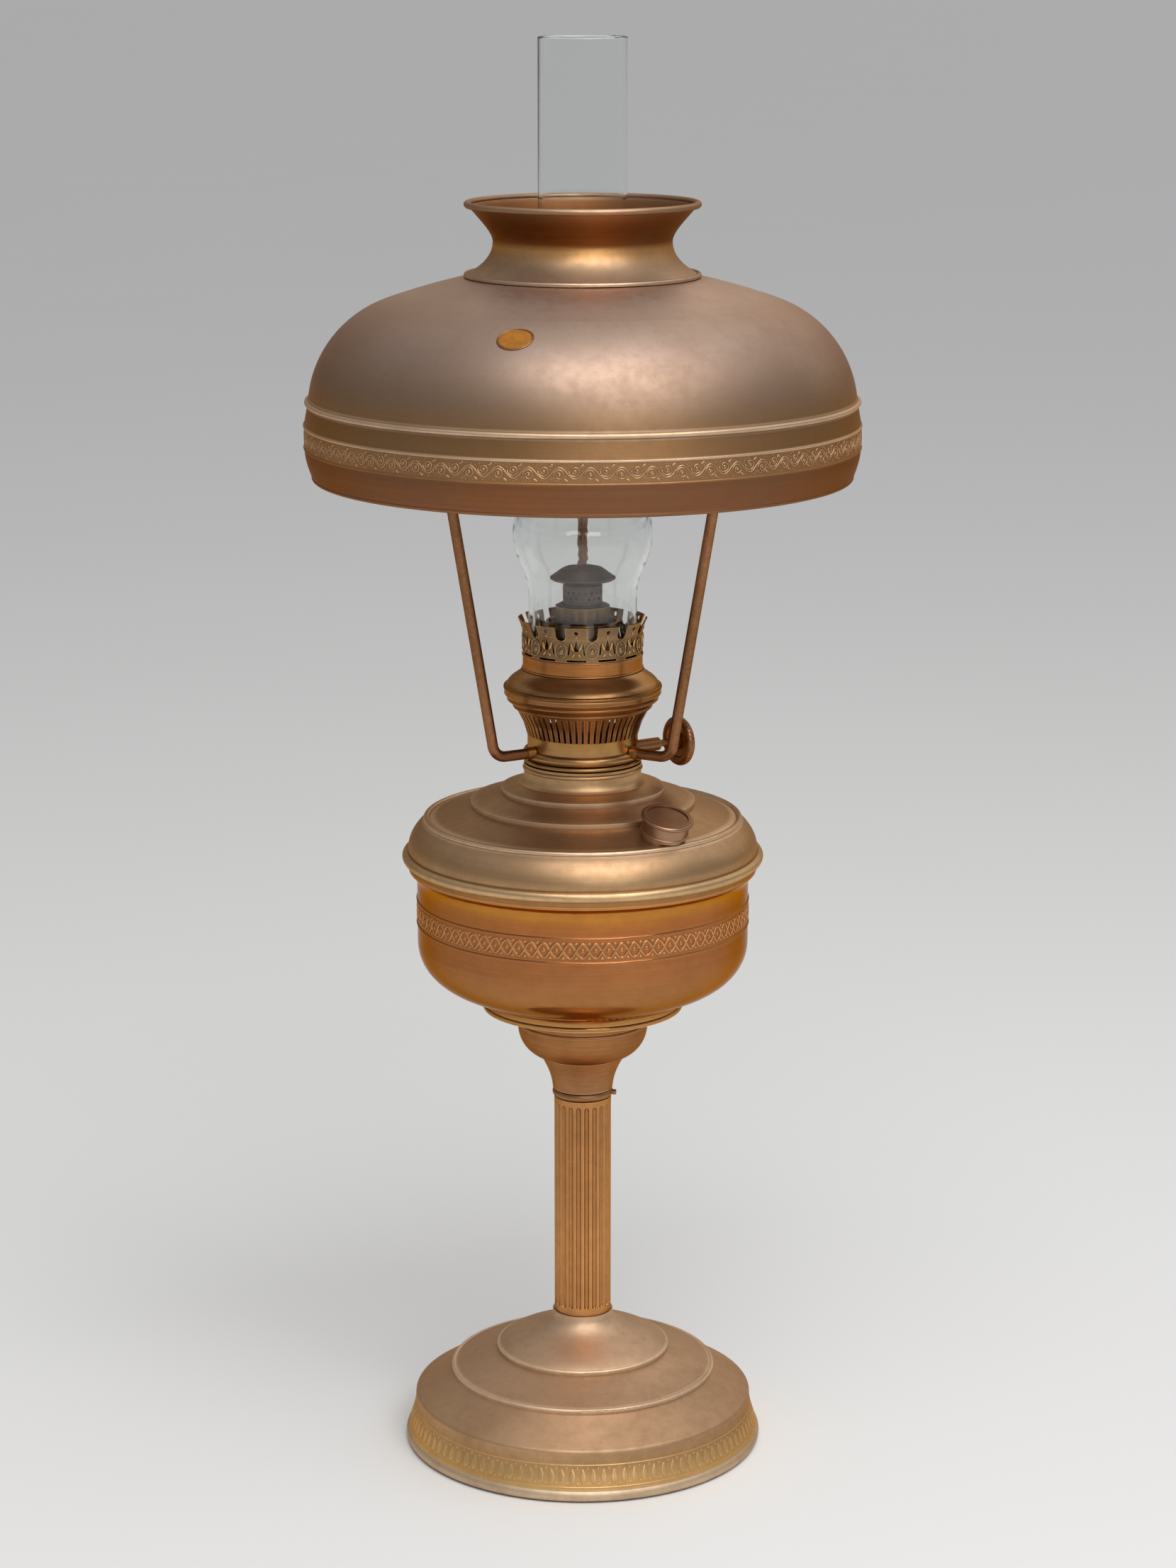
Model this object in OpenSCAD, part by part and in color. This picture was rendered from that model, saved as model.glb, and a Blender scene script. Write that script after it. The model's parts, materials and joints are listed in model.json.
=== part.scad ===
// Kerosene table lamp with a round wick, a bulged chimney and a metal shade.
// Millimetres, +Z up, origin at the centre of the foot's underside, front towards -Y.

/* [Foot] */
// Diameter over the rolled edge of the foot
foot_d = 179.6; // [165:0.2:195]
// Diameter of the skirt's shoulder
foot_shoulder_d = 169.4; // [150:0.2:175]
// Height of the skirt's shoulder
foot_skirt_h = 25.4; // [22:0.2:30]
// Diameter of the lower step
foot_lower_step_d = 132.2; // [120:0.2:140]
// Height where the lower step starts
foot_lower_step_z = 35.8; // [34:0.2:38]
// Diameter of the upper step
foot_upper_step_d = 86.2; // [76:0.2:96]
// Height where the upper step starts
foot_upper_step_z = 46.6; // [44:0.2:50]
// Rise of each step
foot_step_h = 2.4; // [1.6:0.1:3]
// Height of the seat that the column stands on
foot_h = 66; // [60:0.5:72]
// Sheet thickness of the foot
foot_wall = 1.2; // [0.8:0.1:1.6]
// Diameter of the iron weight
ballast_d = 154; // [130:1:158]
// Thickness of the iron weight
ballast_t = 10; // [6:0.5:14]

/* [Column] */
// Diameter of the column
column_d = 28.4; // [25:0.2:32]
// Length of the column
column_len = 114; // [90:1:140]
// Wall of the column
column_wall = 2.4; // [1.8:0.1:3]
// Number of flutes
flute_count = 22; // [16:1:28]
// Diameter of the tool that cuts a flute
flute_d = 2.7; // [1.8:0.1:3.2]
// Diameter of the ring on the column
column_ring_d = 30.2; // [29.6:0.2:34]
// Height of the ring on the column
column_ring_h = 4.5; // [3:0.1:6]
// Height of the flared capital
capital_h = 17; // [12:0.5:24]
// Diameter of the capital's top
capital_top_d = 42; // [38:0.5:48]
// Diameter of the cup under the font
cup_d = 64.4; // [58:0.2:72]
// Height of the cup
cup_h = 25.5; // [22:0.5:32]
// Sheet thickness of capital and cup
cup_wall = 1.4; // [1:0.1:2]
// Diameter of the tie rod
tie_rod_d = 8; // [6:0.5:9]

/* [Font] */
// Diameter of the ring at the font's bottom
font_foot_d = 99; // [90:0.5:106]
// Diameter of the bowl's wall
font_d = 163.2; // [152:0.2:174]
// Diameter over the big bead
font_bead_d = 177.6; // [174:0.2:186]
// Height of the bowl
font_bowl_h = 72; // [66:0.5:84]
// Height of the font's top above the bowl
font_top_h = 42.2; // [40:0.2:50]
// Sheet thickness of the font
font_wall = 1; // [0.7:0.1:1.4]
// Diameter of the lower step on the font's top
font_lower_step_d = 110; // [100:0.5:114]
// Diameter of the upper step on the font's top
font_upper_step_d = 80; // [72:0.5:88]
// Height of the embossed band's middle above the bowl's bottom
font_band_z = 50; // [48:0.2:54]
// Height of the embossed band
font_band_h = 12; // [8:0.2:14]

/* [Collar and filler] */
// Diameter of the collar
collar_d = 58.8; // [57:0.2:62]
// Bore of the collar, which takes the burner's thread
collar_bore_d = 49.2; // [47:0.2:51]
// Height of the collar
collar_h = 8.3; // [7:0.1:11]
// Distance of the filler from the lamp's axis
filler_radius = 67.5; // [66.5:0.5:69]
// Direction of the filler, counted from +X
filler_angle = -55; // [-75:1:-40]
// Bore of the filler
filler_bore_d = 15.2; // [12:0.2:16]
// Diameter over the filler cap's rolled rim
filler_cap_d = 25.4; // [24.8:0.1:26.5]
// Height of the filler cap
filler_cap_h = 8.4; // [7.6:0.1:10]

/* [Burner] */
// Diameter of the tripod's ring
tripod_ring_d = 58.4; // [57:0.2:62]
// Height of the tripod's ring
tripod_ring_h = 5; // [4.4:0.1:6]
// Diameter of the basket's plain band
basket_d = 54; // [51:0.2:55]
// Height of the basket's plain band
basket_band_h = 6.3; // [5.4:0.1:8]
// Height of the slotted cone
slot_cone_h = 13.7; // [11:0.1:16]
// Diameter at the top of the slotted cone
slot_cone_top_d = 65.2; // [61:0.2:68]
// Number of air slots
slot_count = 60; // [48:2:72]
// Width of an air slot
slot_w = 1.2; // [0.8:0.05:1.5]
// Diameter of the burner's rim
burner_rim_d = 77.4; // [73:0.2:84]
// Height from the slotted cone to the rim
burner_rim_h = 9; // [8:0.1:12]
// Height of the dome above the rim
burner_dome_h = 10; // [8:0.1:13]
// Sheet thickness of the burner
burner_wall = 0.8; // [0.6:0.05:1]
// Diameter of the gallery
gallery_d = 58.4; // [57:0.2:62]
// Height of the gallery
gallery_h = 25; // [21:0.5:30]
// Number of pierced motifs round the gallery
gallery_motifs = 12; // [9:1:14]
// Outside diameter of the outer wick tube
wick_tube_d = 26; // [25:0.2:28]
// Wall of the wick tubes
wick_tube_wall = 0.6; // [0.4:0.05:0.8]
// Thickness of the wick
wick_t = 2.2; // [1.6:0.1:2.6]
// Height of the wick tubes above the burner's floor
wick_tube_rise = 75.3; // [72:0.1:80]
// Diameter of the flame disc
flame_disc_d = 31.6; // [28:0.2:36]
// Gap between the flame spreader's thimble and its disc
flame_disc_gap = 2.6; // [2:0.1:5]

/* [Wick feed] */
// Direction in which the spindle points, counted from +X
spindle_angle = 33; // [28:1:38]
// Diameter of the spindle
spindle_d = 3.4; // [3:0.1:4]
// Outside diameter of the spindle's tube
spindle_tube_d = 6.4; // [5.6:0.1:7]
// Distance of the knob along the spindle
knob_reach = 43; // [40:0.5:48]
// Diameter of the knob
knob_d = 24.6; // [18:0.2:26]
// Radius of the spiked feed wheels
feed_wheel_r = 4.6; // [4.2:0.1:4.8]

/* [Chimney] */
// Diameter of the chimney's foot
chimney_foot_d = 52.6; // [51:0.2:54]
// Diameter of the chimney's bulge
chimney_bulge_d = 67.8; // [62:0.2:74]
// Diameter of the chimney's upper tube
chimney_top_d = 42.6; // [40:0.2:46]
// Length of the chimney
chimney_len = 301.2; // [270:1:330]
// Wall of the chimney's glass
chimney_wall = 1.8; // [1.2:0.1:2.2]

/* [Shade and tripod] */
// Diameter of the tripod's rods
arm_d = 5.2; // [4:0.1:5.6]
// Distance of an arm's bend from the lamp's axis
arm_bend_r = 49; // [46:0.5:54]
// Diameter of the ring that carries the shade
shade_ring_d = 176; // [160:1:188]
// Thickness of the ring that carries the shade
shade_ring_t = 4.4; // [3.6:0.1:5.2]
// Diameter of the shade's lower edge
shade_rim_d = 260.4; // [250:0.2:268]
// Diameter of the shade's belt
shade_belt_d = 266.8; // [260:0.2:276]
// Height of the shade's rim above the lamp's foot
shade_rim_z = 491.4; // [470:0.5:510]
// Height of the belt's bead above the rim
shade_bead_h = 37; // [33:0.5:42]
// Radius of the dome's outer curve
dome_edge_r = 54; // [48:0.5:60]
// Radius of the dome's flatter crown
dome_crown_r = 360; // [320:5:420]
// Slope in degrees where the two curves of the dome meet
dome_blend_slope = 19.4; // [17:0.2:22]
// Diameter of the foot of the shade's neck
neck_foot_d = 113.2; // [108:0.2:120]
// Diameter of the neck's throat
neck_throat_d = 85.4; // [80:0.2:92]
// Height of the neck
neck_h = 36; // [30:0.5:44]
// Sheet thickness of the shade
shade_wall = 0.9; // [0.7:0.05:1.2]

/* [Fits] */
// Gap between pieces that move past each other
move_gap = 0.3; // [0.2:0.05:0.4]
// Radial gap of the turning spindle
spin_gap = 0.05; // [0.02:0.01:0.1]
// Gap between pieces of one body that slip together
slip_gap = 0.05; // [0.02:0.01:0.1]

/* [Hidden] */
$fn = 64;
eps = 0.01;
far = 400;

// Heights of the stack, from the foot up
column_top = foot_h + column_len;
capital_z = column_top + column_ring_h;
cup_z = capital_z + capital_h;
font_z = cup_z + cup_h;
font_seam_z = font_z + font_bowl_h;
collar_z = font_seam_z + font_top_h;
collar_top = collar_z + collar_h;
thread_flange_z = collar_top + move_gap;
thread_flange_t = 1.2;
floor_z = thread_flange_z + thread_flange_t + move_gap;
floor_t = 2.2;
tripod_z = floor_z + floor_t;
basket_z = tripod_z + tripod_ring_h;
slot_cone_z = basket_z + basket_band_h;
slot_cone_top = slot_cone_z + slot_cone_h;
rim_z = slot_cone_top + burner_rim_h;
gallery_z = rim_z + burner_dome_h;
chimney_z = gallery_z + move_gap;
chimney_top = chimney_z + chimney_len;

// Foot
foot_r = foot_d / 2;
foot_shoulder_r = foot_shoulder_d / 2;
foot_edge_r = 3.4;
foot_edge_z = 2.9;
foot_shoulder_round = 2;
foot_rim_t = 0.9;
foot_rim_h = 1.2;
foot_bead_r = 1.1;
step_bead_r = 0.9;
ballast_lift = 6;
nut_recess_r = 24;
nut_recess_h = 8;
hub_r = 12.5;

// Tie rod
tie_rod_r = tie_rod_d / 2;
nut_h = 0.8 * tie_rod_d;
nut_r = 0.92 * tie_rod_d;
washer_r = 1.35 * tie_rod_d;
washer_t = 1.5;
rod_hole_r = tie_rod_r + 0.2;
rod_end = 3;
lower_washer_z = ballast_lift + nut_recess_h - washer_t;
cup_floor_t = 2;
upper_washer_z = cup_z + cup_floor_t;
upper_nut_z = upper_washer_z + washer_t;

// Column, capital and cup
column_r = column_d / 2;
flute_r = flute_d / 2;
flute_out = 0.45;
flute_foot = 6;
flute_head = 4;
capital_foot_r = column_r + 0.7;
capital_top_r = capital_top_d / 2;
cup_r = cup_d / 2;
cup_wall_h = 10;
cup_ridge_h = 8;
ring_pin_r = 1.3;
ring_pin_angle = -10;

// Font
font_r = font_d / 2;
font_bead_r = font_bead_d / 2;
font_foot_r = font_foot_d / 2;
font_foot_h = 3;
bowl_lip_r = font_bead_r - 3.2;
bowl_curve_h = 34.5;
bowl_flare_h = 8;
bead_round = 2.6;
bead_z = font_seam_z + 5.4;
shoulder_z = font_seam_z + 10;
shoulder_end_r = font_r - 4.2;
shoulder_end_z = font_seam_z + 23.6;
font_lower_step_r = font_lower_step_d / 2;
font_lower_step_z = collar_z - 11.6;
font_upper_step_r = font_upper_step_d / 2;
font_upper_step_z = collar_z - 5;
font_step_h = 2.6;
font_split_z = font_lower_step_z + 0.4 * font_step_h;
font_ridge_r = 0.8;
shoulder_ridge_r = 1.4;
band_line_r = 0.7;

// Collar and filler
collar_r = collar_d / 2;
collar_bore_r = collar_bore_d / 2;
collar_seat_r = collar_r + 1.6;
collar_ring_r = 1;
collar_fillet_h = 4.4;
filler_slope = (font_lower_step_z - shoulder_end_z) / (shoulder_end_r - font_lower_step_r);
filler_lean = atan(filler_slope);
filler_bore_r = filler_bore_d / 2;
filler_neck_r = filler_bore_r + 1.9;
filler_seat_r = filler_neck_r + 0.9;
filler_rise = 2;
filler_ground_z = shoulder_end_z + (shoulder_end_r - filler_radius) * filler_slope;
filler_seat_z = filler_ground_z + filler_rise / cos(filler_lean);
filler_seat_depth = 5;
filler_flange_t = 1;
filler_neck_h = 6.7;
filler_cap_z = filler_flange_t + move_gap;
filler_skirt_in_r = filler_neck_r + move_gap;
filler_skirt_out_r = filler_skirt_in_r + 1.4;
filler_cap_top_t = 1;
filler_dish = 0.6;
filler_rim_r = 1.1;
filler_foot_bead_r = 0.5;
filler_washer_z = filler_neck_h + move_gap;
filler_washer_t = filler_cap_z + filler_cap_h - filler_cap_top_t - move_gap - filler_washer_z;

// Burner
tripod_ring_r = tripod_ring_d / 2;
tripod_ring_wall = 4.8;
thread_r = collar_bore_r - move_gap;
thread_wall = 2.2;
thread_depth = 0.35;
thread_pitch = 2;
thread_len = collar_h - 0.6;
basket_r = basket_d / 2;
slot_cone_top_r = slot_cone_top_d / 2;
slot_margin = 0.6;
basket_bow = 0.7;
burner_rim_r = burner_rim_d / 2;
rim_lip_h = 2;
rim_round = 1.2;
dome_floor_t = 1;
gallery_r = gallery_d / 2;
gallery_wall = 0.6;
gallery_band_h = 7.4;
gallery_flare = 2.2;
gallery_turn = 9;
gallery_pitch = 2 * PI * gallery_r / gallery_motifs;
gallery_eye_r = 1.1;
gallery_drop_r = 1.2;
gallery_slit_w = 1.1;
gallery_slit_len = 0.56 * gallery_pitch;
gallery_slot_w = 0.9;
gallery_slot_place = 0.27 * gallery_pitch;
gallery_notch_r = 0.17 * gallery_pitch;
wick_tube_r = wick_tube_d / 2;
wick_out_r = wick_tube_r - wick_tube_wall - move_gap;
wick_in_r = wick_out_r - wick_t;
draft_tube_r = wick_in_r - move_gap;
draft_bore_r = draft_tube_r - wick_tube_wall;
wick_tube_top = tripod_z + wick_tube_rise;
wick_tube_foot = collar_z - 3;
wick_proud = 0.5;
wick_slit = 5;
wick_tail_w = 14;
wick_tail_foot = font_z + 15;
wick_travel = 7;
wick_fork_z = wick_tube_foot - wick_travel;
draft_tube_top = wick_tube_top + 1;
draft_tube_foot = collar_top - 3;
draft_fin_w = 1.6;
draft_fin_h = 16;
air_window_w = 4.2;
air_window_z = slot_cone_z + 4;
air_window_h = 14;
deflector_foot_r = wick_tube_r + 7.2;
deflector_top_r = wick_tube_r + 4.2;
deflector_h = gallery_h - 1;
deflector_wall = 0.6;

// Wick feed
spindle_r = spindle_d / 2;
spindle_tube_r = spindle_tube_d / 2;
spindle_off = wick_out_r + move_gap + feed_wheel_r;
spindle_z = floor_z + floor_t + 0.8 + feed_wheel_r;
spindle_tube_start = 6.5;
spindle_tube_end = 33;
spindle_tail = 8;
feed_wheel_t = 2;
feed_wheel_place = 3.5;
feed_wheel_spikes = 16;
feed_wheel_root = feed_wheel_r - 1;
feed_window_gap = 0.8;
knob_r = knob_d / 2;
knob_t = 4.6;
knob_hub_r = 4;
knob_web_t = 1.4;
knob_grips = 36;

// Flame spreader
thimble_r = draft_bore_r - move_gap;
thimble_wall = 0.5;
thimble_len = 19;
thimble_z = draft_tube_top + move_gap;
thimble_head_h = 9;
thimble_hole_r = 0.7;
thimble_holes = 20;
spreader_pin_r = 1.6;
disc_z = thimble_z + thimble_head_h + flame_disc_gap;
disc_r = flame_disc_d / 2;
disc_edge_h = 1.2;
disc_h = 5.6;
disc_flat_r = 8;

// Chimney
chimney_foot_r = chimney_foot_d / 2;
chimney_bulge_r = chimney_bulge_d / 2;
chimney_top_r = chimney_top_d / 2;
chimney_neck_z = chimney_z + 34.5;
chimney_bulge_z = chimney_neck_z + 31.5;
chimney_tube_z = chimney_bulge_z + 42;

// Shade
shade_rim_r = shade_rim_d / 2;
shade_belt_r = shade_belt_d / 2;
shade_band_z = shade_rim_z + 15.6;
shade_band_h = 10.4;
shade_roll_r = 1.3;
shade_bead_r = 1.3;
shade_skirt_top = shade_rim_z + shade_bead_h - 1.2 * shade_bead_r;
dome_edge_z = shade_rim_z + shade_bead_h - 3.8;
dome_edge_x = shade_belt_r - 1.9 - dome_edge_r;
dome_start_a = 4.7;
dome_blend_a = 90 - dome_blend_slope;
dome_blend = [dome_edge_x, dome_edge_z] + dome_edge_r * [cos(dome_blend_a), sin(dome_blend_a)];
dome_crown = dome_blend - dome_crown_r * [cos(dome_blend_a), sin(dome_blend_a)];
neck_foot_r = neck_foot_d / 2;
neck_throat_r = neck_throat_d / 2;
neck_lip_r = neck_foot_r - 0.2;
neck_z = dome_crown_height(neck_foot_r, dome_crown_r);
neck_flange_r = neck_foot_r - 5.6;
neck_roll_r = 1.6;
neck_throat_z = neck_z + 17;

// Tripod: the ring's top lies against the underside of the dome
arm_r = arm_d / 2;
arm_z = tripod_z + 4.6;
arm_bend_round = 7;
arm_swell = 0.03;
arm_lap = 0.3;
arm_boss_r = arm_r + 0.4;
arm_boss_start = basket_r + move_gap;
arm_boss_end = tripod_ring_r + 2.4;
arm_angles = [210, 330, 90];
shade_ring_r = shade_ring_d / 2;
shade_ring_round = shade_ring_t / 2;
shade_ring_slope = asin((shade_ring_r - dome_crown[0]) / dome_crown_r);
shade_ring_drop = (shade_wall + move_gap + shade_ring_round) / cos(shade_ring_slope);
shade_ring_z = dome_crown_height(shade_ring_r, dome_crown_r) - shade_ring_drop;
shade_ring_foot = shade_ring_z - 0.7 * shade_ring_round;

brass = [0.72, 0.55, 0.33];
dark_brass = [0.52, 0.39, 0.25];
gold_brass = [0.78, 0.58, 0.30];
copper = [0.62, 0.42, 0.30];

// Height of the dome's crown at a distance from the axis
function dome_crown_height(x, r) = dome_crown[1] + sqrt(r * r - (x - dome_crown[0]) ^ 2);

// Points along an arc from angle a0 to angle a1
function arc(c, r, a0, a1, n = 10) =
    [for (i = [0 : n]) c + r * [cos(a0 + (a1 - a0) * i / n), sin(a0 + (a1 - a0) * i / n)]];

// Points along a cubic curve after its first point
function curve(p, n = 10) =
    [for (i = [1 : n]) let (t = i / n, s = 1 - t)
        s ^ 3 * p[0] + 3 * s * s * t * p[1] + 3 * s * t * t * p[2] + t ^ 3 * p[3]];

function unit(v) = v / norm(v);
function left_of(v) = [-v[1], v[0]];
function side_normal(p, i) = left_of(unit(p[i + 1] - p[i]));
function reverse(p) = [for (i = [len(p) - 1 : -1 : 0]) p[i]];

// The path moved to its left by t, with mitred corners
function inset(p, t) =
    [for (i = [0 : len(p) - 1])
        let (a = side_normal(p, max(i - 1, 0)), b = side_normal(p, min(i, len(p) - 2)))
            p[i] + t * (a + b) / (1 + a * b)];

// Closed outline of a sheet of thickness t whose outer side is the path
function sheet(p, t) = concat(p, reverse(inset(p, t)));

// Flat shapes in the (radius, height) plane
module bead(x, z, r) {
    translate([x, z]) circle(r);
}

module ring_box(r0, r1, z0, z1) {
    translate([r0, z0]) square([r1 - r0, z1 - z0]);
}

module tube(r0, r1, z0, z1) {
    rotate_extrude() ring_box(r0, r1, z0, z1);
}

module foot_shell() {
    shelf_z = foot_h - foot_wall;
    rim_r = column_r + foot_rim_t;
    skirt_start = [foot_r - 1.2, 5.5];
    shoulder = [foot_shoulder_r, foot_skirt_h - foot_shoulder_round];
    lower = [foot_lower_step_d / 2, foot_lower_step_z];
    upper = [foot_upper_step_d / 2, foot_upper_step_z];
    rise = [0, foot_step_h];
    bell_start = upper + rise - [0.6, 0];
    bell_end = [rim_r, shelf_z];
    path = concat(
        [skirt_start],
        curve([skirt_start, [foot_r - 2.6, 12], shoulder - [-0.2, 9], shoulder]),
        arc(shoulder - [foot_shoulder_round, 0], foot_shoulder_round, 10, 63, 5),
        [lower, lower + rise, upper, upper + rise],
        curve([upper + rise, bell_start + [-8, 7.5], bell_end + [3.6, -9.5], bell_end]),
        [[rim_r, foot_h]]);
    color(brass) rotate_extrude() {
        polygon(sheet(path, foot_wall));
        intersection() {
            bead(foot_r - foot_edge_r, foot_edge_z, foot_edge_r);
            ring_box(0, foot_r, 0, 2 * foot_edge_r);
        }
        for (p = [lower + rise, upper + rise]) bead(p[0] - foot_bead_r + 0.3, p[1] - 0.4, foot_bead_r);
        ring_box(rod_hole_r, rim_r, shelf_z, foot_h);
        ring_box(column_r + slip_gap, rim_r, foot_h - eps, foot_h + foot_rim_h);
    }
}

module foot_ballast() {
    plate_top = ballast_lift + ballast_t;
    recess_top = ballast_lift + nut_recess_h;
    hub_top = foot_h - foot_wall;
    color("dimgray") rotate_extrude() polygon([
        [rod_hole_r, recess_top], [nut_recess_r - 2, recess_top], [nut_recess_r, ballast_lift],
        [ballast_d / 2, ballast_lift], [ballast_d / 2, plate_top - 2], [ballast_d / 2 - 2, plate_top],
        [nut_recess_r, plate_top], [hub_r, plate_top + 12], [hub_r, hub_top], [rod_hole_r, hub_top]]);
}

module tie_rod() {
    rod_foot = lower_washer_z - nut_h - rod_end + washer_t;
    rod_top = upper_nut_z + nut_h + rod_end;
    color("silver") translate([0, 0, rod_foot]) cylinder(r = tie_rod_r, h = rod_top - rod_foot);
}

module tie_rod_nut(z) {
    translate([0, 0, z]) difference() {
        cylinder(r = nut_r, h = nut_h, $fn = 6);
        translate([0, 0, -1]) cylinder(r = tie_rod_r + slip_gap, h = nut_h + 2);
    }
}

module tie_rod_nuts() {
    color("silver") {
        tie_rod_nut(lower_washer_z - nut_h);
        tie_rod_nut(upper_nut_z);
    }
}

module tie_rod_washers() {
    color("silver") {
        tube(rod_hole_r, washer_r, lower_washer_z, lower_washer_z + washer_t);
        tube(rod_hole_r, washer_r, upper_washer_z, upper_washer_z + washer_t);
    }
}

// A round-ended groove along the column
module flute() {
    z0 = foot_h + flute_foot;
    z1 = column_top - flute_head;
    translate([column_r + flute_out, 0, z0]) cylinder(r = flute_r, h = z1 - z0);
    translate([column_r + flute_out, 0, z0]) sphere(r = flute_r);
    translate([column_r + flute_out, 0, z1]) sphere(r = flute_r);
}

module column() {
    color(dark_brass) difference() {
        tube(column_r - column_wall, column_r, foot_h, column_top);
        for (i = [0 : flute_count - 1]) rotate(360 * i / flute_count) flute();
    }
}

module column_ring() {
    round_r = column_ring_h / 2;
    core_r = column_ring_d / 2 - round_r;
    color(brass) {
        rotate_extrude() {
            ring_box(column_r - column_wall, core_r, column_top, capital_z);
            bead(core_r, column_top + round_r, round_r);
        }
        rotate(ring_pin_angle) translate([core_r, 0, column_top + round_r]) rotate([0, 90, 0])
            cylinder(r = ring_pin_r, h = round_r + 1.8);
    }
}

module capital() {
    foot = [capital_foot_r, capital_z];
    top = [capital_top_r, cup_z];
    path = concat([foot], curve([foot, foot + [0.6, 7.5], top - [2.5, 4.5], top]));
    color(brass) rotate_extrude() {
        intersection() {
            polygon(sheet(path, cup_wall));
            ring_box(0, far, capital_z, cup_z);
        }
        ring_box(rod_hole_r, capital_foot_r - 0.2, capital_z, capital_z + cup_wall);
    }
}

module font_cup() {
    foot = [capital_top_r, cup_z];
    belly = [cup_r, font_z - cup_wall_h];
    path = concat([foot], curve([foot, foot + [6, 2], belly - [0, 8], belly]), [[cup_r, font_z]]);
    color(brass) rotate_extrude() {
        intersection() {
            polygon(sheet(path, cup_wall));
            ring_box(0, far, cup_z, font_z);
        }
        ring_box(rod_hole_r, capital_top_r, cup_z, cup_z + cup_floor_t);
        bead(cup_r - 0.3, font_z - cup_ridge_h, step_bead_r);
    }
}

module font_bowl() {
    foot = [font_foot_r, font_z];
    cove_start = foot + [0, font_foot_h];
    cove_end = [font_foot_r + 8.3, font_z + 9];
    wall_foot = [font_r, font_z + bowl_curve_h];
    wall_top = [font_r, font_seam_z - bowl_flare_h];
    lip = [bowl_lip_r, font_seam_z - 1];
    path = concat(
        [[0, font_z], foot, cove_start],
        curve([cove_start, cove_start + [1, 3.5], cove_end - [3.8, 0.4], cove_end]),
        curve([cove_end, cove_end + [12.7, 3.5], wall_foot - [0, 14], wall_foot], 14),
        [wall_top],
        curve([wall_top, wall_top + [0, 3.5], lip - [2.6, 1.6], lip], 6),
        [[bowl_lip_r, font_seam_z]]);
    band_lines = [font_band_z - font_band_h / 2, font_band_z + font_band_h / 2];
    color(gold_brass) rotate_extrude() {
        polygon(sheet(path, font_wall));
        bead(cove_end[0] - 0.4, cove_end[1] + 0.4, step_bead_r);
        bead(foot[0] - 0.6, font_z + 1.6, 1.2);
        for (z = band_lines) bead(font_r - 0.2, font_z + z, band_line_r);
    }
}

// Sheet of the font's cover with its bead, steps and ridges
module font_cover_outline() {
    shoulder = [bowl_lip_r + 0.2, shoulder_z];
    shoulder_end = [shoulder_end_r, shoulder_end_z];
    lower = [font_lower_step_r, font_lower_step_z];
    upper = [font_upper_step_r, font_upper_step_z];
    rise = [0, font_step_h];
    path = concat(
        [[bowl_lip_r + 0.2, font_seam_z], shoulder],
        curve([shoulder, shoulder + [-0.2, 5.5], shoulder_end + [4.1, -2.8], shoulder_end], 12),
        [lower, lower + rise, upper, upper + rise, [collar_seat_r, collar_z], [collar_bore_r, collar_z]]);
    polygon(sheet(path, font_wall));
    bead(font_bead_r - bead_round, bead_z, bead_round);
    bead(shoulder_end[0] - 0.6, shoulder_end[1] + 0.4, shoulder_ridge_r);
    bead(lower[0] - font_ridge_r, lower[1] + font_step_h - 0.6, font_ridge_r);
    bead(upper[0] - font_ridge_r, upper[1] + font_step_h - 0.6, font_ridge_r);
}

// Places its children on the filler's axis, with z = 0 on its seat
module on_filler(along = 0) {
    rotate(filler_angle) translate([filler_radius, 0, filler_seat_z]) rotate([0, filler_lean, 0])
        translate([0, 0, along]) children();
}

module font_top() {
    color(brass) difference() {
        union() {
            rotate_extrude() intersection() {
                font_cover_outline();
                ring_box(0, far, 0, font_split_z);
            }
            on_filler(-filler_seat_depth) cylinder(r = filler_seat_r, h = filler_seat_depth);
        }
        on_filler(-2 * filler_seat_depth) cylinder(r = filler_bore_r, h = 3 * filler_seat_depth);
    }
}

// Stepped plate round the collar
module font_crown() {
    color(brass) rotate_extrude() intersection() {
        font_cover_outline();
        ring_box(0, far, font_split_z, far);
    }
}

module font_collar() {
    wall = [collar_r - 0.7, collar_z + collar_fillet_h];
    color(brass) rotate_extrude() {
        polygon(concat(
            [[collar_bore_r, collar_top], [collar_bore_r, collar_z], [collar_seat_r, collar_z]],
            curve([[collar_seat_r, collar_z], wall - [-0.8, 3.6], wall - [0, 2], wall], 6),
            [[wall[0], collar_top]]));
        bead(collar_r - collar_ring_r, collar_top - collar_ring_r, collar_ring_r);
    }
}

module filler_neck() {
    color(brass) on_filler() rotate_extrude() {
        ring_box(filler_bore_r, filler_seat_r, 0, filler_flange_t);
        ring_box(filler_bore_r, filler_neck_r, 0, filler_neck_h);
    }
}

module filler_washer() {
    color("saddlebrown") on_filler(filler_washer_z) cylinder(r = filler_neck_r, h = filler_washer_t);
}

module filler_cap() {
    rim_z0 = filler_cap_h - filler_rim_r;
    color(brass) on_filler(filler_cap_z) difference() {
        rotate_extrude() {
            ring_box(filler_skirt_in_r, filler_skirt_out_r, 0, filler_cap_h);
            ring_box(0, filler_cap_d / 2 - filler_rim_r, filler_cap_h - filler_cap_top_t, filler_cap_h);
            bead(filler_cap_d / 2 - filler_rim_r, rim_z0, filler_rim_r);
            bead(filler_skirt_out_r, filler_foot_bead_r, filler_foot_bead_r);
        }
        translate([0, 0, filler_cap_h - filler_dish])
            cylinder(r = filler_cap_d / 2 - 2.2 * filler_rim_r, h = 2);
    }
}

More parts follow.
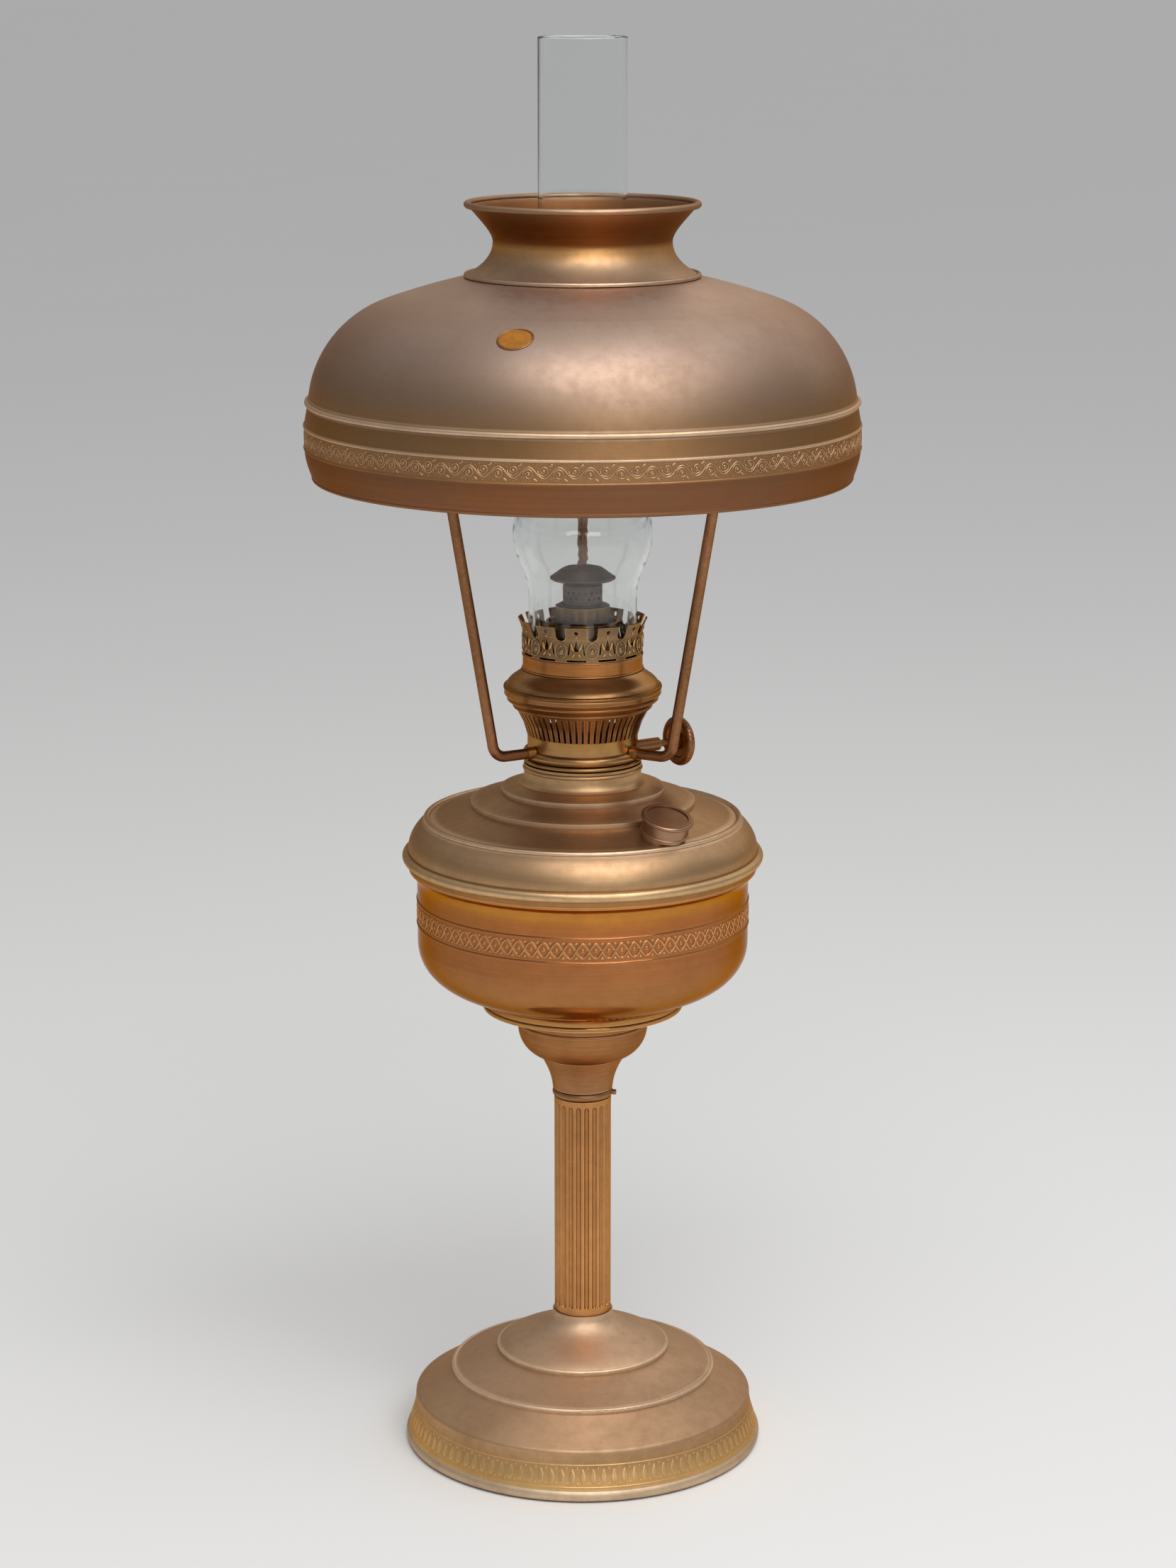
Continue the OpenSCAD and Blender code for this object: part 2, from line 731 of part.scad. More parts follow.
module burner_thread_ring() {
    thread_foot = thread_flange_z - thread_len;
    root_r = thread_r - thread_depth;
    turns = floor(thread_len / thread_pitch) - 1;
    color(brass) rotate_extrude() {
        ring_box(thread_r - thread_wall, root_r, thread_foot, thread_flange_z + thread_flange_t);
        ring_box(thread_r - thread_wall, collar_r - 0.6, thread_flange_z,
                 thread_flange_z + thread_flange_t);
        for (i = [0 : turns]) bead(root_r, thread_foot + (i + 0.5) * thread_pitch, thread_depth);
    }
}

module burner_floor() {
    round_r = floor_t / 2;
    color(brass) rotate_extrude() {
        ring_box(wick_tube_r + slip_gap, tripod_ring_r - 0.4 - round_r, floor_z, tripod_z);
        bead(tripod_ring_r - 0.4 - round_r, floor_z + round_r, round_r);
    }
}

// Places its children on the spindle's axis, with their +Z along the spindle
module on_spindle(along = 0) {
    rotate(spindle_angle) translate([along, -spindle_off, spindle_z]) rotate([0, 90, 0]) children();
}

module spindle_bore() {
    on_spindle() cylinder(r = spindle_tube_r + slip_gap, h = far);
}

module tripod_ring() {
    round_r = tripod_ring_h / 2;
    color(copper) difference() {
        union() {
            rotate_extrude() {
                ring_box(tripod_ring_r - tripod_ring_wall, tripod_ring_r - round_r, tripod_z, basket_z);
                bead(tripod_ring_r - round_r, tripod_z + round_r, round_r);
            }
            for (a = arm_angles) rotate(a) translate([arm_boss_start, 0, arm_z]) rotate([0, 90, 0])
                cylinder(r = arm_boss_r, h = arm_boss_end - arm_boss_start);
        }
        spindle_bore();
        on_spindle() translate([-far, -spindle_tube_r - slip_gap, 0])
            cube([far, 2 * (spindle_tube_r + slip_gap), far]);
    }
}

// A rod that leaves the ring level, bends and climbs to the shade's ring
module tripod_arm(angle) {
    climb = shade_ring_foot - arm_z;
    lean = atan((shade_ring_r - arm_bend_r) / climb);
    turn = 90 - lean;
    run_out = arm_bend_round * tan(turn / 2);
    foot_end = arm_bend_r - run_out;
    bend_end = [foot_end + arm_bend_round * sin(turn), arm_z + arm_bend_round * (1 - cos(turn))];
    color(copper) rotate(angle) difference() {
        union() {
            translate([arm_boss_end, 0, arm_z]) rotate([0, 90, 0])
                cylinder(r = arm_r, h = foot_end - arm_boss_end + arm_lap);
            translate([foot_end, 0, arm_z + arm_bend_round]) rotate([90, 0, 0]) rotate(-90)
                rotate_extrude(angle = turn) bead(arm_bend_round, 0, arm_r + arm_swell);
            translate([bend_end[0], 0, bend_end[1]]) rotate([0, lean, 0]) translate([0, 0, -arm_lap])
                cylinder(r = arm_r, h = climb / cos(lean) + arm_lap);
        }
        translate([0, -far / 2, shade_ring_foot]) cube(far);
    }
}

module tripod_arm_left() {
    tripod_arm(arm_angles[0]);
}

module tripod_arm_right() {
    tripod_arm(arm_angles[1]);
}

module tripod_arm_back() {
    tripod_arm(arm_angles[2]);
}

module shade_ring() {
    color(copper) rotate_extrude() intersection() {
        bead(shade_ring_r, shade_ring_z, shade_ring_round);
        ring_box(0, far, shade_ring_foot, shade_ring_foot + shade_ring_t);
    }
}

module burner_basket() {
    band_top = [basket_r, slot_cone_z];
    cone_top = [slot_cone_top_r, slot_cone_top];
    lip = [burner_rim_r - 0.4, rim_z - rim_lip_h];
    cone_mid = (band_top + cone_top) / 2 - [basket_bow, 0];
    path = [[basket_r, basket_z], band_top, cone_mid, cone_top, lip, [lip[0], rim_z]];
    slot_z = slot_cone_z + slot_margin;
    color(gold_brass) difference() {
        rotate_extrude() {
            polygon(sheet(path, burner_wall));
            for (i = [1 : 2]) {
                p = cone_top + (lip - cone_top) * (i - 0.7) / 2;
                bead(p[0] - 0.2, p[1], 0.9);
            }
        }
        for (i = [0 : slot_count - 1]) rotate(360 * i / slot_count)
            translate([basket_r - 3, -slot_w / 2, slot_z])
                cube([slot_cone_top_r, slot_w, slot_cone_h - 2 * slot_margin]);
        spindle_bore();
    }
}

module burner_dome() {
    lip = [burner_rim_r - 0.4, rim_z];
    shoulder = [burner_rim_r - 1.2, rim_z + 2];
    top = [gallery_r + 0.6, gallery_z];
    path = concat([lip, shoulder], curve([shoulder, shoulder + [-1.6, 4.6], top + [2.2, -3.4], top]));
    color(gold_brass) rotate_extrude() {
        intersection() {
            polygon(sheet(path, burner_wall));
            ring_box(0, far, rim_z, gallery_z);
        }
        bead(burner_rim_r - rim_round, rim_z + rim_round, rim_round);
        ring_box(deflector_foot_r - 1.6, gallery_r + 0.4, gallery_z - dome_floor_t, gallery_z);
    }
}

// A straight slot with round ends, drawn flat and centred
module flat_slot(len, w) {
    square([len, w], center = true);
    for (side = [-1, 1]) translate([side * len / 2, 0]) circle(w / 2);
}

// Openings of one motif, drawn flat: eye at the tip, drop below it and slit above the band
module gallery_motif() {
    drop_z = gallery_h - 10.5;
    translate([0, gallery_h - 2.4]) circle(gallery_eye_r);
    translate([0, drop_z]) circle(gallery_drop_r);
    polygon([[-gallery_drop_r, drop_z], [gallery_drop_r, drop_z], [0, drop_z + 5]]);
    translate([0, gallery_band_h + 1.4]) flat_slot(gallery_slit_len, gallery_slit_w);
}

// Openings between two motifs, drawn flat: notch in the crown and a slot on each side of the medallion
module gallery_medallion() {
    notch_z = gallery_h - 4;
    notch_top_z = gallery_h + 4;
    foot = 0.9 * gallery_notch_r;
    top = 1.2 * gallery_notch_r;
    translate([0, notch_z]) circle(gallery_notch_r);
    polygon([[-foot, notch_z], [foot, notch_z], [top, notch_top_z], [-top, notch_top_z]]);
    for (side = [-1, 1]) translate([side * gallery_slot_place, gallery_h - 10.5]) rotate(90 - side * 8)
        flat_slot(5, gallery_slot_w);
}

// Cuts a flat shape through the gallery's wall
module through_gallery() {
    translate([gallery_r - 4, 0, gallery_z]) rotate([90, 0, 90]) linear_extrude(10) children();
}

module gallery() {
    foot = [gallery_r, gallery_z];
    bend = [gallery_r, gallery_z + gallery_h - 8];
    tip = [gallery_r + gallery_flare, gallery_z + gallery_h];
    path = concat([foot, bend], curve([bend, bend + [0, 3], tip - [1.4, 3], tip], 6));
    color(gold_brass) difference() {
        rotate_extrude() {
            polygon(sheet(path, gallery_wall));
            bead(gallery_r - 0.2, gallery_z + 0.7, 0.7);
            bead(gallery_r - 0.2, gallery_z + gallery_band_h, 0.6);
        }
        for (i = [0 : gallery_motifs - 1]) {
            rotate(gallery_turn + 360 * i / gallery_motifs) through_gallery() gallery_medallion();
            rotate(gallery_turn + 360 * (i + 0.5) / gallery_motifs) through_gallery() gallery_motif();
        }
    }
}

module air_deflector() {
    foot = [deflector_foot_r, gallery_z];
    top = [deflector_top_r, gallery_z + deflector_h];
    color(gold_brass) rotate_extrude() {
        polygon(sheet([foot, foot + [0, 1], top - [0, 2], top], deflector_wall));
        bead(deflector_top_r - 0.1, gallery_z + deflector_h - 0.7, 0.7);
    }
}

module air_window() {
    translate([-air_window_w / 2, 0, air_window_z]) cube([air_window_w, wick_tube_r + 1, air_window_h]);
}

module outer_wick_tube() {
    wheel_r = feed_wheel_r + feed_window_gap;
    wheel_w = feed_wheel_place + feed_wheel_t / 2 + feed_window_gap;
    color(brass) difference() {
        tube(wick_tube_r - wick_tube_wall, wick_tube_r, wick_tube_foot, wick_tube_top);
        on_spindle(-wheel_w) cylinder(r = wheel_r, h = 2 * wheel_w);
        air_window();
    }
}

module inner_draft_tube() {
    fin_reach = wick_tube_r - wick_tube_wall - slip_gap - draft_tube_r + wick_tube_wall / 2;
    color(brass) difference() {
        union() {
            tube(draft_bore_r, draft_tube_r, draft_tube_foot, draft_tube_top);
            translate([-draft_fin_w / 2, draft_tube_r - wick_tube_wall / 2, draft_tube_foot])
                cube([draft_fin_w, fin_reach, draft_fin_h]);
        }
        air_window();
    }
}

module spindle_tube() {
    color(gold_brass) on_spindle(spindle_tube_start)
        tube(spindle_r + spin_gap, spindle_tube_r, 0, spindle_tube_end - spindle_tube_start);
}

module wick() {
    color("ivory") difference() {
        union() {
            tube(wick_in_r, wick_out_r, wick_fork_z, wick_tube_top + wick_proud);
            for (side = [0, 180]) rotate(side)
                translate([wick_in_r, -wick_tail_w / 2, wick_tail_foot])
                    cube([wick_t, wick_tail_w, wick_fork_z - wick_tail_foot + eps]);
        }
        translate([-wick_slit / 2, 0, wick_tail_foot - 1]) cube([wick_slit, wick_tube_r, far]);
    }
}

module wick_spindle() {
    color(copper) on_spindle(-spindle_tail)
        cylinder(r = spindle_r, h = knob_reach + knob_t + spindle_tail - slip_gap);
}

// Outline of a spiked wheel
function spikes(n, root, tip) =
    [for (i = [0 : 2 * n - 1]) (i % 2 == 0 ? tip : root) * [cos(180 * i / n), sin(180 * i / n)]];

module feed_wheels() {
    color(copper) for (side = [-1, 1])
        on_spindle(side * feed_wheel_place - feed_wheel_t / 2) difference() {
            linear_extrude(feed_wheel_t) polygon(spikes(feed_wheel_spikes, feed_wheel_root, feed_wheel_r));
            translate([0, 0, -1]) cylinder(r = spindle_r + slip_gap, h = feed_wheel_t + 2);
        }
}

// Pressed wheel with a rolled, gripped rim
module wick_knob() {
    rim_t = knob_t / 2;
    color(copper) on_spindle(knob_reach) difference() {
        rotate_extrude() {
            ring_box(spindle_r + slip_gap, knob_hub_r, 0, knob_t);
            ring_box(knob_hub_r - eps, knob_r - rim_t, rim_t - knob_web_t / 2, rim_t + knob_web_t / 2);
            bead(knob_r - rim_t, rim_t, rim_t);
        }
        for (i = [0 : knob_grips - 1]) rotate(360 * i / knob_grips)
            translate([knob_r + 0.25, 0, -1]) cylinder(r = 0.6, h = knob_t + 2);
    }
}

module spreader_thimble() {
    head_r = draft_tube_r;
    head_top = thimble_z + thimble_head_h;
    color(dark_brass) difference() {
        rotate_extrude() {
            ring_box(thimble_r - thimble_wall, thimble_r, thimble_z - thimble_len, thimble_z + thimble_wall);
            ring_box(thimble_r - thimble_wall, head_r, thimble_z, thimble_z + thimble_wall);
            ring_box(head_r - thimble_wall, head_r, thimble_z, head_top);
            ring_box(0, head_r, head_top - thimble_wall, head_top);
        }
        for (i = [0 : thimble_holes - 1]) rotate(360 * i / thimble_holes)
            for (row = [0, 1]) rotate(row * 180 / thimble_holes)
                translate([head_r - 2, 0, thimble_z + thimble_head_h * (row + 1) / 3]) rotate([0, 90, 0])
                    cylinder(r = thimble_hole_r, h = 4);
    }
}

module spreader_pin() {
    color(dark_brass) translate([0, 0, thimble_z + thimble_head_h])
        cylinder(r = spreader_pin_r, h = flame_disc_gap);
}

module spreader_disc() {
    color(dark_brass) rotate_extrude() polygon(concat(
        [[0, disc_z], [disc_r - 0.8, disc_z], [disc_r, disc_z + 0.6], [disc_r, disc_z + disc_edge_h]],
        curve([[disc_r, disc_z + disc_edge_h], [disc_r - 2.4, disc_z + disc_edge_h + 1.6],
               [disc_flat_r + 1.6, disc_z + disc_h], [disc_flat_r, disc_z + disc_h]]),
        [[disc_flat_r - 0.6, disc_z + disc_h - 0.5], [0, disc_z + disc_h - 0.5]]));
}

module chimney() {
    foot = [chimney_foot_r, chimney_z];
    neck = [chimney_foot_r, chimney_neck_z];
    bulge = [chimney_bulge_r, chimney_bulge_z];
    waist = [chimney_top_r, chimney_tube_z];
    lip_r = chimney_wall / 2;
    top = [chimney_top_r, chimney_top - lip_r];
    path = concat(
        [foot, neck],
        curve([neck, neck + [0, 14], bulge - [0, 14], bulge], 14),
        curve([bulge, bulge + [0, 17], waist - [0, 23], waist], 16),
        [top]);
    color([0.85, 0.92, 0.95, 0.35]) rotate_extrude() {
        polygon(sheet(path, chimney_wall));
        bead(chimney_top_r - lip_r, chimney_top - lip_r, lip_r);
    }
}

// Sheet of the shade below its neck, with rolled rim, band and bead
module shade_outline() {
    rim = [shade_rim_r - 0.3, shade_rim_z + shade_roll_r];
    belt = [shade_belt_r, shade_band_z];
    bead_at = [shade_belt_r - 1.6, shade_rim_z + shade_bead_h];
    crown_end_a = acos((neck_foot_r - dome_crown[0]) / dome_crown_r);
    path = concat(
        [rim],
        curve([rim, rim + [2.2, 6], belt - [0.4, 6], belt], 6),
        [belt + [0, shade_band_h]],
        arc([dome_edge_x, dome_edge_z], dome_edge_r, dome_start_a, dome_blend_a, 16),
        arc(dome_crown, dome_crown_r, dome_blend_a + 0.6, crown_end_a, 8),
        [[neck_flange_r, neck_z]]);
    polygon(sheet(path, shade_wall));
    bead(shade_rim_r - shade_roll_r, shade_rim_z + shade_roll_r, shade_roll_r);
    bead(belt[0] - 0.3, belt[1], 0.7);
    bead(belt[0] - 0.3, belt[1] + shade_band_h, 0.8);
    bead(bead_at[0], bead_at[1], shade_bead_r);
}

module shade_skirt() {
    color(brass) rotate_extrude() intersection() {
        shade_outline();
        ring_box(0, far, 0, shade_skirt_top);
    }
}

module shade_shoulder() {
    color(brass) rotate_extrude() intersection() {
        shade_outline();
        ring_box(dome_blend[0], far, shade_skirt_top, 2 * far);
    }
}

module shade_dome() {
    color(brass) rotate_extrude() intersection() {
        shade_outline();
        ring_box(0, dome_blend[0], shade_skirt_top, 2 * far);
    }
}

// Sheet of the neck with its flange, foot bead and rolled lip
module neck_outline() {
    foot = [neck_foot_r - 1.2, neck_z + 1.2];
    throat = [neck_throat_r, neck_throat_z];
    lip = [neck_lip_r - neck_roll_r, neck_z + neck_h - neck_roll_r];
    path = concat(
        [foot],
        curve([foot, foot + [-4.5, 2.6], throat - [0, 8.5], throat]),
        curve([throat, throat + [0, 5], lip - [3.2, 4.6], lip]));
    polygon(sheet(path, shade_wall));
    ring_box(neck_flange_r, neck_foot_r - 1.2, neck_z, neck_z + 1.2);
    bead(neck_foot_r - 1.2, neck_z + 1.2, 1.2);
    bead(lip[0], lip[1], neck_roll_r);
}

module shade_neck() {
    color(brass) rotate_extrude() intersection() {
        neck_outline();
        ring_box(0, far, 0, neck_throat_z);
    }
}

module shade_flare() {
    color(brass) rotate_extrude() intersection() {
        neck_outline();
        ring_box(0, far, neck_throat_z, 2 * far);
    }
}

foot_shell();
foot_ballast();
tie_rod();
tie_rod_nuts();
tie_rod_washers();
column();
column_ring();
capital();
font_cup();
font_bowl();
font_top();
font_crown();
font_collar();
filler_neck();
filler_washer();
filler_cap();
burner_thread_ring();
burner_floor();
tripod_ring();
tripod_arm_left();
tripod_arm_right();
tripod_arm_back();
shade_ring();
burner_basket();
burner_dome();
gallery();
air_deflector();
outer_wick_tube();
inner_draft_tube();
spindle_tube();
wick();
wick_spindle();
feed_wheels();
wick_knob();
spreader_thimble();
spreader_pin();
spreader_disc();
chimney();
shade_skirt();
shade_shoulder();
shade_dome();
shade_neck();
shade_flare();
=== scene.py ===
"""Looks of the kerosene table lamp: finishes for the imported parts, embossed trim, light, floor and camera.

Metres, +Z up, origin at the centre of the foot's underside, front of the lamp towards -Y.
"""

import json
import math
import random

import bpy
import numpy as np
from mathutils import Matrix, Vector
from mathutils.bvhtree import BVHTree


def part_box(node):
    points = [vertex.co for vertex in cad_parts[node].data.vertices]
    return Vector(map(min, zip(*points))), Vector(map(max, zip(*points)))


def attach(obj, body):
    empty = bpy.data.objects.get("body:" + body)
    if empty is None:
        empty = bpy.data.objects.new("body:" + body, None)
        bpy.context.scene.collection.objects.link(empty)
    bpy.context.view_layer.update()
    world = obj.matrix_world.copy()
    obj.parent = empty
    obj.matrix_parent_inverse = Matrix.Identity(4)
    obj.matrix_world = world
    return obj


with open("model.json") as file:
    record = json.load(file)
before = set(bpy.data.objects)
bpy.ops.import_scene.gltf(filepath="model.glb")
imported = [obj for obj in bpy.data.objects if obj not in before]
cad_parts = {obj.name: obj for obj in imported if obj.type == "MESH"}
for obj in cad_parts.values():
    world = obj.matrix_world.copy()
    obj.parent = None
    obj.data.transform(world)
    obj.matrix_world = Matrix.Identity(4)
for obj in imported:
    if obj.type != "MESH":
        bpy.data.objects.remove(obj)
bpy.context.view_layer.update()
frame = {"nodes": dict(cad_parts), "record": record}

MM = 0.001
NODES = frame["nodes"]

# Camera, fitted to the photograph's frame of 1659 x 2212 pixels
PHOTO_W = 1659
PHOTO_H = 2212
FOCAL_PX = 5200
AXIS_PX = 822
SENSOR_MM = 36
CAMERA_BACK = 1.761
CAMERA_HEIGHT = 0.7492
CAMERA_PITCH = math.radians(13.1)

# Floor disc, just under the foot
FLOOR_REACH = 40.0
FLOOR_DROP = 0.3 * MM
FLOOR_SIDES = 96

# Light of the surroundings, from the horizon up to the zenith
WORLD_TINT = (0.96, 0.98, 1.0)
HORIZON_LIGHT = 0.2
ZENITH_LIGHT = 0.5
ZENITH_FROM = 0.9

# Point that the light boxes face
LIGHT_AIM = (0, 0, 0.4)

# Embossed bands: ring radius, middle height and repeats
FONT_BAND_R = 81.6 * MM
FONT_BAND_Z = 277 * MM
FONT_BAND_EYES = 82
SHADE_BAND_Z = 512.2 * MM
SHADE_BAND_SCROLLS = 60
FOOT_BAND_Z = 12.6 * MM
FOOT_BAND_LEAVES = 104

# Gallery's crown and the ornament on it
GALLERY_Z = 397.5 * MM
GALLERY_R = 29.2 * MM
GALLERY_MOTIFS = 12
GALLERY_TURN = math.radians(9)
GALLERY_BEND_Z = GALLERY_Z + 17 * MM
GALLERY_FLARE_H = 8 * MM
GALLERY_FLARE = 2.2 * MM
GALLERY_ORNAMENT_Z = GALLERY_Z + 13.8 * MM

# Oval plate on the shade
LABEL_ANGLE = math.radians(253.8)
LABEL_Z = 568.7 * MM
LABEL_HALF_W = 8.6 * MM
LABEL_HALF_H = 7.2 * MM
LABEL_TILT = math.radians(9)
LABEL_SIDES = 64
LABEL_SINK = 0.1 * MM

# Charred end of the wick
CHAR_LOW_Z = 426.5 * MM
CHAR_HIGH_Z = 429.3 * MM

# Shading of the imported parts
WELD_GAP = 0.002 * MM
CREASE = math.radians(32)

# Bearing at which the turned parts are measured, and how far out that starts, in radii
PROBE_BEARING = 0.3
PROBE_START = 1.5
PROBE_SAMPLES = 25

# Marks on old brass: their repeats per metre, and the range of the noise over which each comes in
CLOUD_SCALE = 14.0
CLOUD_RANGE = (0.36, 0.68)
MOTTLE_SCALE = 190.0
MOTTLE_RANGE = (0.35, 0.75)
SPECK_SCALE = 1000.0
SPECK_RANGE = (0.68, 0.76)
LATHE_RANGE = (0.35, 0.7)

# Rubbed edges of old brass: their radius, and the bend of the surface at which they start and are full
RUBBED_EDGE = 0.7 * MM
RUBBED_RANGE = (0.995, 0.93)

# How far the marks change the tint
MOTTLE_SHARE = 0.5
SPECK_SHARE = 0.4
SPECK_SHADE = 0.6
LATHE_SHARE = 0.14
# Grime with painted shade in grooves and corners: its share of the tint, and how much darker than the patina
# it is
DIRT_AND_SHADE_SHARE = 0.7
DIRT_AND_SHADE_DARKEN = 0.35

# How far the marks change the roughness and the bump
CLOUD_SMOOTH = 0.02
CLOUD_ROUGH = 0.05
MOTTLE_ROUGH = 0.03
DIRT_ROUGH = 0.15
LATHE_BUMP = 0.7
MOTTLE_BUMP = 0.4
BRASS_BUMP = 0.12
BRASS_BUMP_H = 0.1 * MM


def opaque(color):
    """A tint of three numbers as the four that a colour socket takes."""
    return (*color, 1.0)


def shade_of(color, factor):
    return tuple(channel * factor for channel in color)


class Finish:
    """One procedural material, kept so that each finish reads as a short recipe."""

    def __init__(self, name):
        self.material = bpy.data.materials.new(name)
        self.material.use_nodes = True
        self.tree = self.material.node_tree
        self.shader = self.tree.nodes["Principled BSDF"]
        self.place = self.tree.nodes.new("ShaderNodeTexCoord").outputs["Object"]

    def set(self, **values):
        for socket, value in values.items():
            self.shader.inputs[socket.replace("_", " ")].default_value = value

    def feed(self, socket, output):
        self.tree.links.new(output, self.shader.inputs[socket])

    def node(self, kind, inputs, **settings):
        made = self.tree.nodes.new(kind)
        for key, value in settings.items():
            setattr(made, key, value)
        for key, value in inputs.items():
            if isinstance(value, bpy.types.NodeSocket):
                self.tree.links.new(value, made.inputs[key])
            else:
                made.inputs[key].default_value = value
        return made

    def math(self, operation, a, b):
        return self.node("ShaderNodeMath", {0: a, 1: b}, operation=operation).outputs[0]

    def noise(self, scale, detail=4.0, roughness=0.55, vector=None):
        place = self.place if vector is None else vector
        inputs = {"Vector": place, "Scale": scale, "Detail": detail, "Roughness": roughness}
        return self.node("ShaderNodeTexNoise", inputs).outputs["Fac"]

    def span(self, value, low, high, to_low=0.0, to_high=1.0):
        inputs = {"Value": value, "From Min": low, "From Max": high, "To Min": to_low, "To Max": to_high}
        return self.node("ShaderNodeMapRange", inputs, interpolation_type="SMOOTHSTEP").outputs["Result"]

    def mix(self, factor, a, b):
        """From colour a to colour b; each is a tint or another node's colour."""
        a, b = (opaque(color) if isinstance(color, tuple) else color for color in (a, b))
        return self.node("ShaderNodeMix", {0: factor, 6: a, 7: b}, data_type="RGBA").outputs[2]

    def ramp(self, value, stops):
        made = self.node("ShaderNodeValToRGB", {"Fac": value})
        elements = made.color_ramp.elements
        elements[0].position, elements[0].color = stops[0]
        elements[1].position, elements[1].color = stops[-1]
        for position, color in stops[1:-1]:
            elements.new(position).color = color
        return made.outputs["Color"]

    def split(self):
        """The place's X, Y and Z."""
        return self.node("ShaderNodeSeparateXYZ", {"Vector": self.place}).outputs

    def turned(self, lines):
        """Fine concentric lines, as a lathe leaves them."""
        parts = self.split()
        flat = self.node("ShaderNodeCombineXYZ", {"X": parts["X"], "Y": parts["Y"]}).outputs[0]
        radius = self.node("ShaderNodeVectorMath", {0: flat}, operation="LENGTH").outputs["Value"]
        scaled = {
            "X": self.math("MULTIPLY", radius, lines),
            "Y": self.math("ARCTAN2", parts["Y"], parts["X"]),
            "Z": self.math("MULTIPLY", parts["Z"], lines),
        }
        vector = self.node("ShaderNodeCombineXYZ", scaled).outputs[0]
        return self.noise(1.0, detail=3.0, roughness=0.6, vector=vector)

    def by_height(self, tints):
        """Colour from a list of (height in millimetres, tint) pairs."""
        low = tints[0][0]
        high = tints[-1][0]
        span = {"Value": self.split()["Z"], "From Min": low * MM, "From Max": high * MM}
        share = self.node("ShaderNodeMapRange", span).outputs["Result"]
        return self.ramp(share, [((z - low) / (high - low), opaque(tint)) for z, tint in tints])

    def recess(self, reach, deep, bare):
        """1 in a corner or groove, 0 on an open face, from ambient occlusion, so it marks where shade falls;
        deep and bare are the occlusion at these two.
        """
        made = self.node("ShaderNodeAmbientOcclusion", {"Distance": reach}, samples=6)
        return self.span(made.outputs["AO"], deep, bare, 1.0, 0.0)

    def edge(self, radius):
        """1 on an outer edge that hands have rubbed bright."""
        round_normal = self.node("ShaderNodeBevel", {"Radius": radius}, samples=4).outputs["Normal"]
        normal = self.tree.nodes.new("ShaderNodeNewGeometry").outputs["Normal"]
        facing = self.node("ShaderNodeVectorMath", {0: round_normal, 1: normal}, operation="DOT_PRODUCT")
        return self.span(facing.outputs["Value"], *RUBBED_RANGE)

    def bump(self, height, strength, distance):
        inputs = {"Height": height, "Strength": strength, "Distance": distance}
        self.feed("Normal", self.node("ShaderNodeBump", inputs).outputs["Normal"])


# Tint that old brass shows where it is seen at a flat angle
EDGE_TINT = (0.75, 0.5, 0.35)


def brass(name, tone, dark, polish, rough, lines=1500.0, stain=0.3, wear=0.6, groove=1.6, brush=1.0,
          deep=0.35, bare=0.9):
    """Aged brass: clouds of patina, specks, grime with painted shade in the grooves and corners, and bright
    rubbed edges.

    tone is a tint, or a list of (height, tint) pairs where the metal's tint changes with height.
    lines and brush are the lathe's lines per metre and how much they show.
    stain is how much patina shows, and wear how bright the rubbed edges are.
    groove is the reach of that grime and painted shade in millimetres, and deep and bare are the occlusion
    where it is full and ends.
    """
    f = Finish(name)
    f.set(Metallic=1.0, Specular_Tint=opaque(EDGE_TINT))
    clouds = f.span(f.noise(CLOUD_SCALE), *CLOUD_RANGE)
    mottle = f.noise(MOTTLE_SCALE, detail=5.0, roughness=0.62)
    specks = f.span(f.noise(SPECK_SCALE, detail=2.0, roughness=0.5), *SPECK_RANGE)
    lathe = f.turned(lines)
    # Occlusion mask: grime in the hollows, and painted shade where the light is blocked
    dirt_and_shade = f.recess(groove * MM, deep, bare)

    color = f.by_height(tone) if isinstance(tone, list) else tone
    color = f.mix(f.math("MULTIPLY", clouds, stain), color, dark)
    color = f.mix(f.span(mottle, *MOTTLE_RANGE, to_high=MOTTLE_SHARE * stain), color, dark)
    color = f.mix(f.math("MULTIPLY", specks, SPECK_SHARE), color, shade_of(dark, SPECK_SHADE))
    color = f.mix(f.span(lathe, *LATHE_RANGE, to_high=LATHE_SHARE * brush), color, polish)
    # Darkens grooves and corners: partly grime, partly painted shade
    color = f.mix(f.math("MULTIPLY", dirt_and_shade, DIRT_AND_SHADE_SHARE), color, shade_of(dark, DIRT_AND_SHADE_DARKEN))
    if wear > 0.0:
        rubbed = f.math("MULTIPLY", f.edge(RUBBED_EDGE), f.math("SUBTRACT", 1.0, dirt_and_shade))
        color = f.mix(f.math("MULTIPLY", rubbed, wear), color, polish)
    f.feed("Base Color", color)

    cloudy = f.span(clouds, 0.0, 1.0, rough - CLOUD_SMOOTH, rough + CLOUD_ROUGH)
    spread = f.math("ADD", cloudy, f.span(mottle, 0.3, 0.7, -MOTTLE_ROUGH, MOTTLE_ROUGH))
    f.feed("Roughness", f.math("ADD", spread, f.math("MULTIPLY", dirt_and_shade, DIRT_ROUGH)))
    brushed = f.math("MULTIPLY", lathe, LATHE_BUMP * brush)
    pitted = f.math("MULTIPLY", mottle, MOTTLE_BUMP)
    f.bump(f.math("ADD", brushed, pitted), BRASS_BUMP, BRASS_BUMP_H)
    return f.material


def clear_glass(name):
    f = Finish(name)
    f.set(Base_Color=opaque((0.97, 0.985, 0.975)), Transmission_Weight=1.0, IOR=1.47)
    haze = f.noise(60.0, detail=5.0, roughness=0.6)
    ripple = f.noise(26.0, detail=2.0, roughness=0.4)
    f.feed("Roughness", f.span(haze, 0.45, 0.8, to_high=0.05))
    f.bump(ripple, strength=0.05, distance=0.2 * MM)
    return f.material


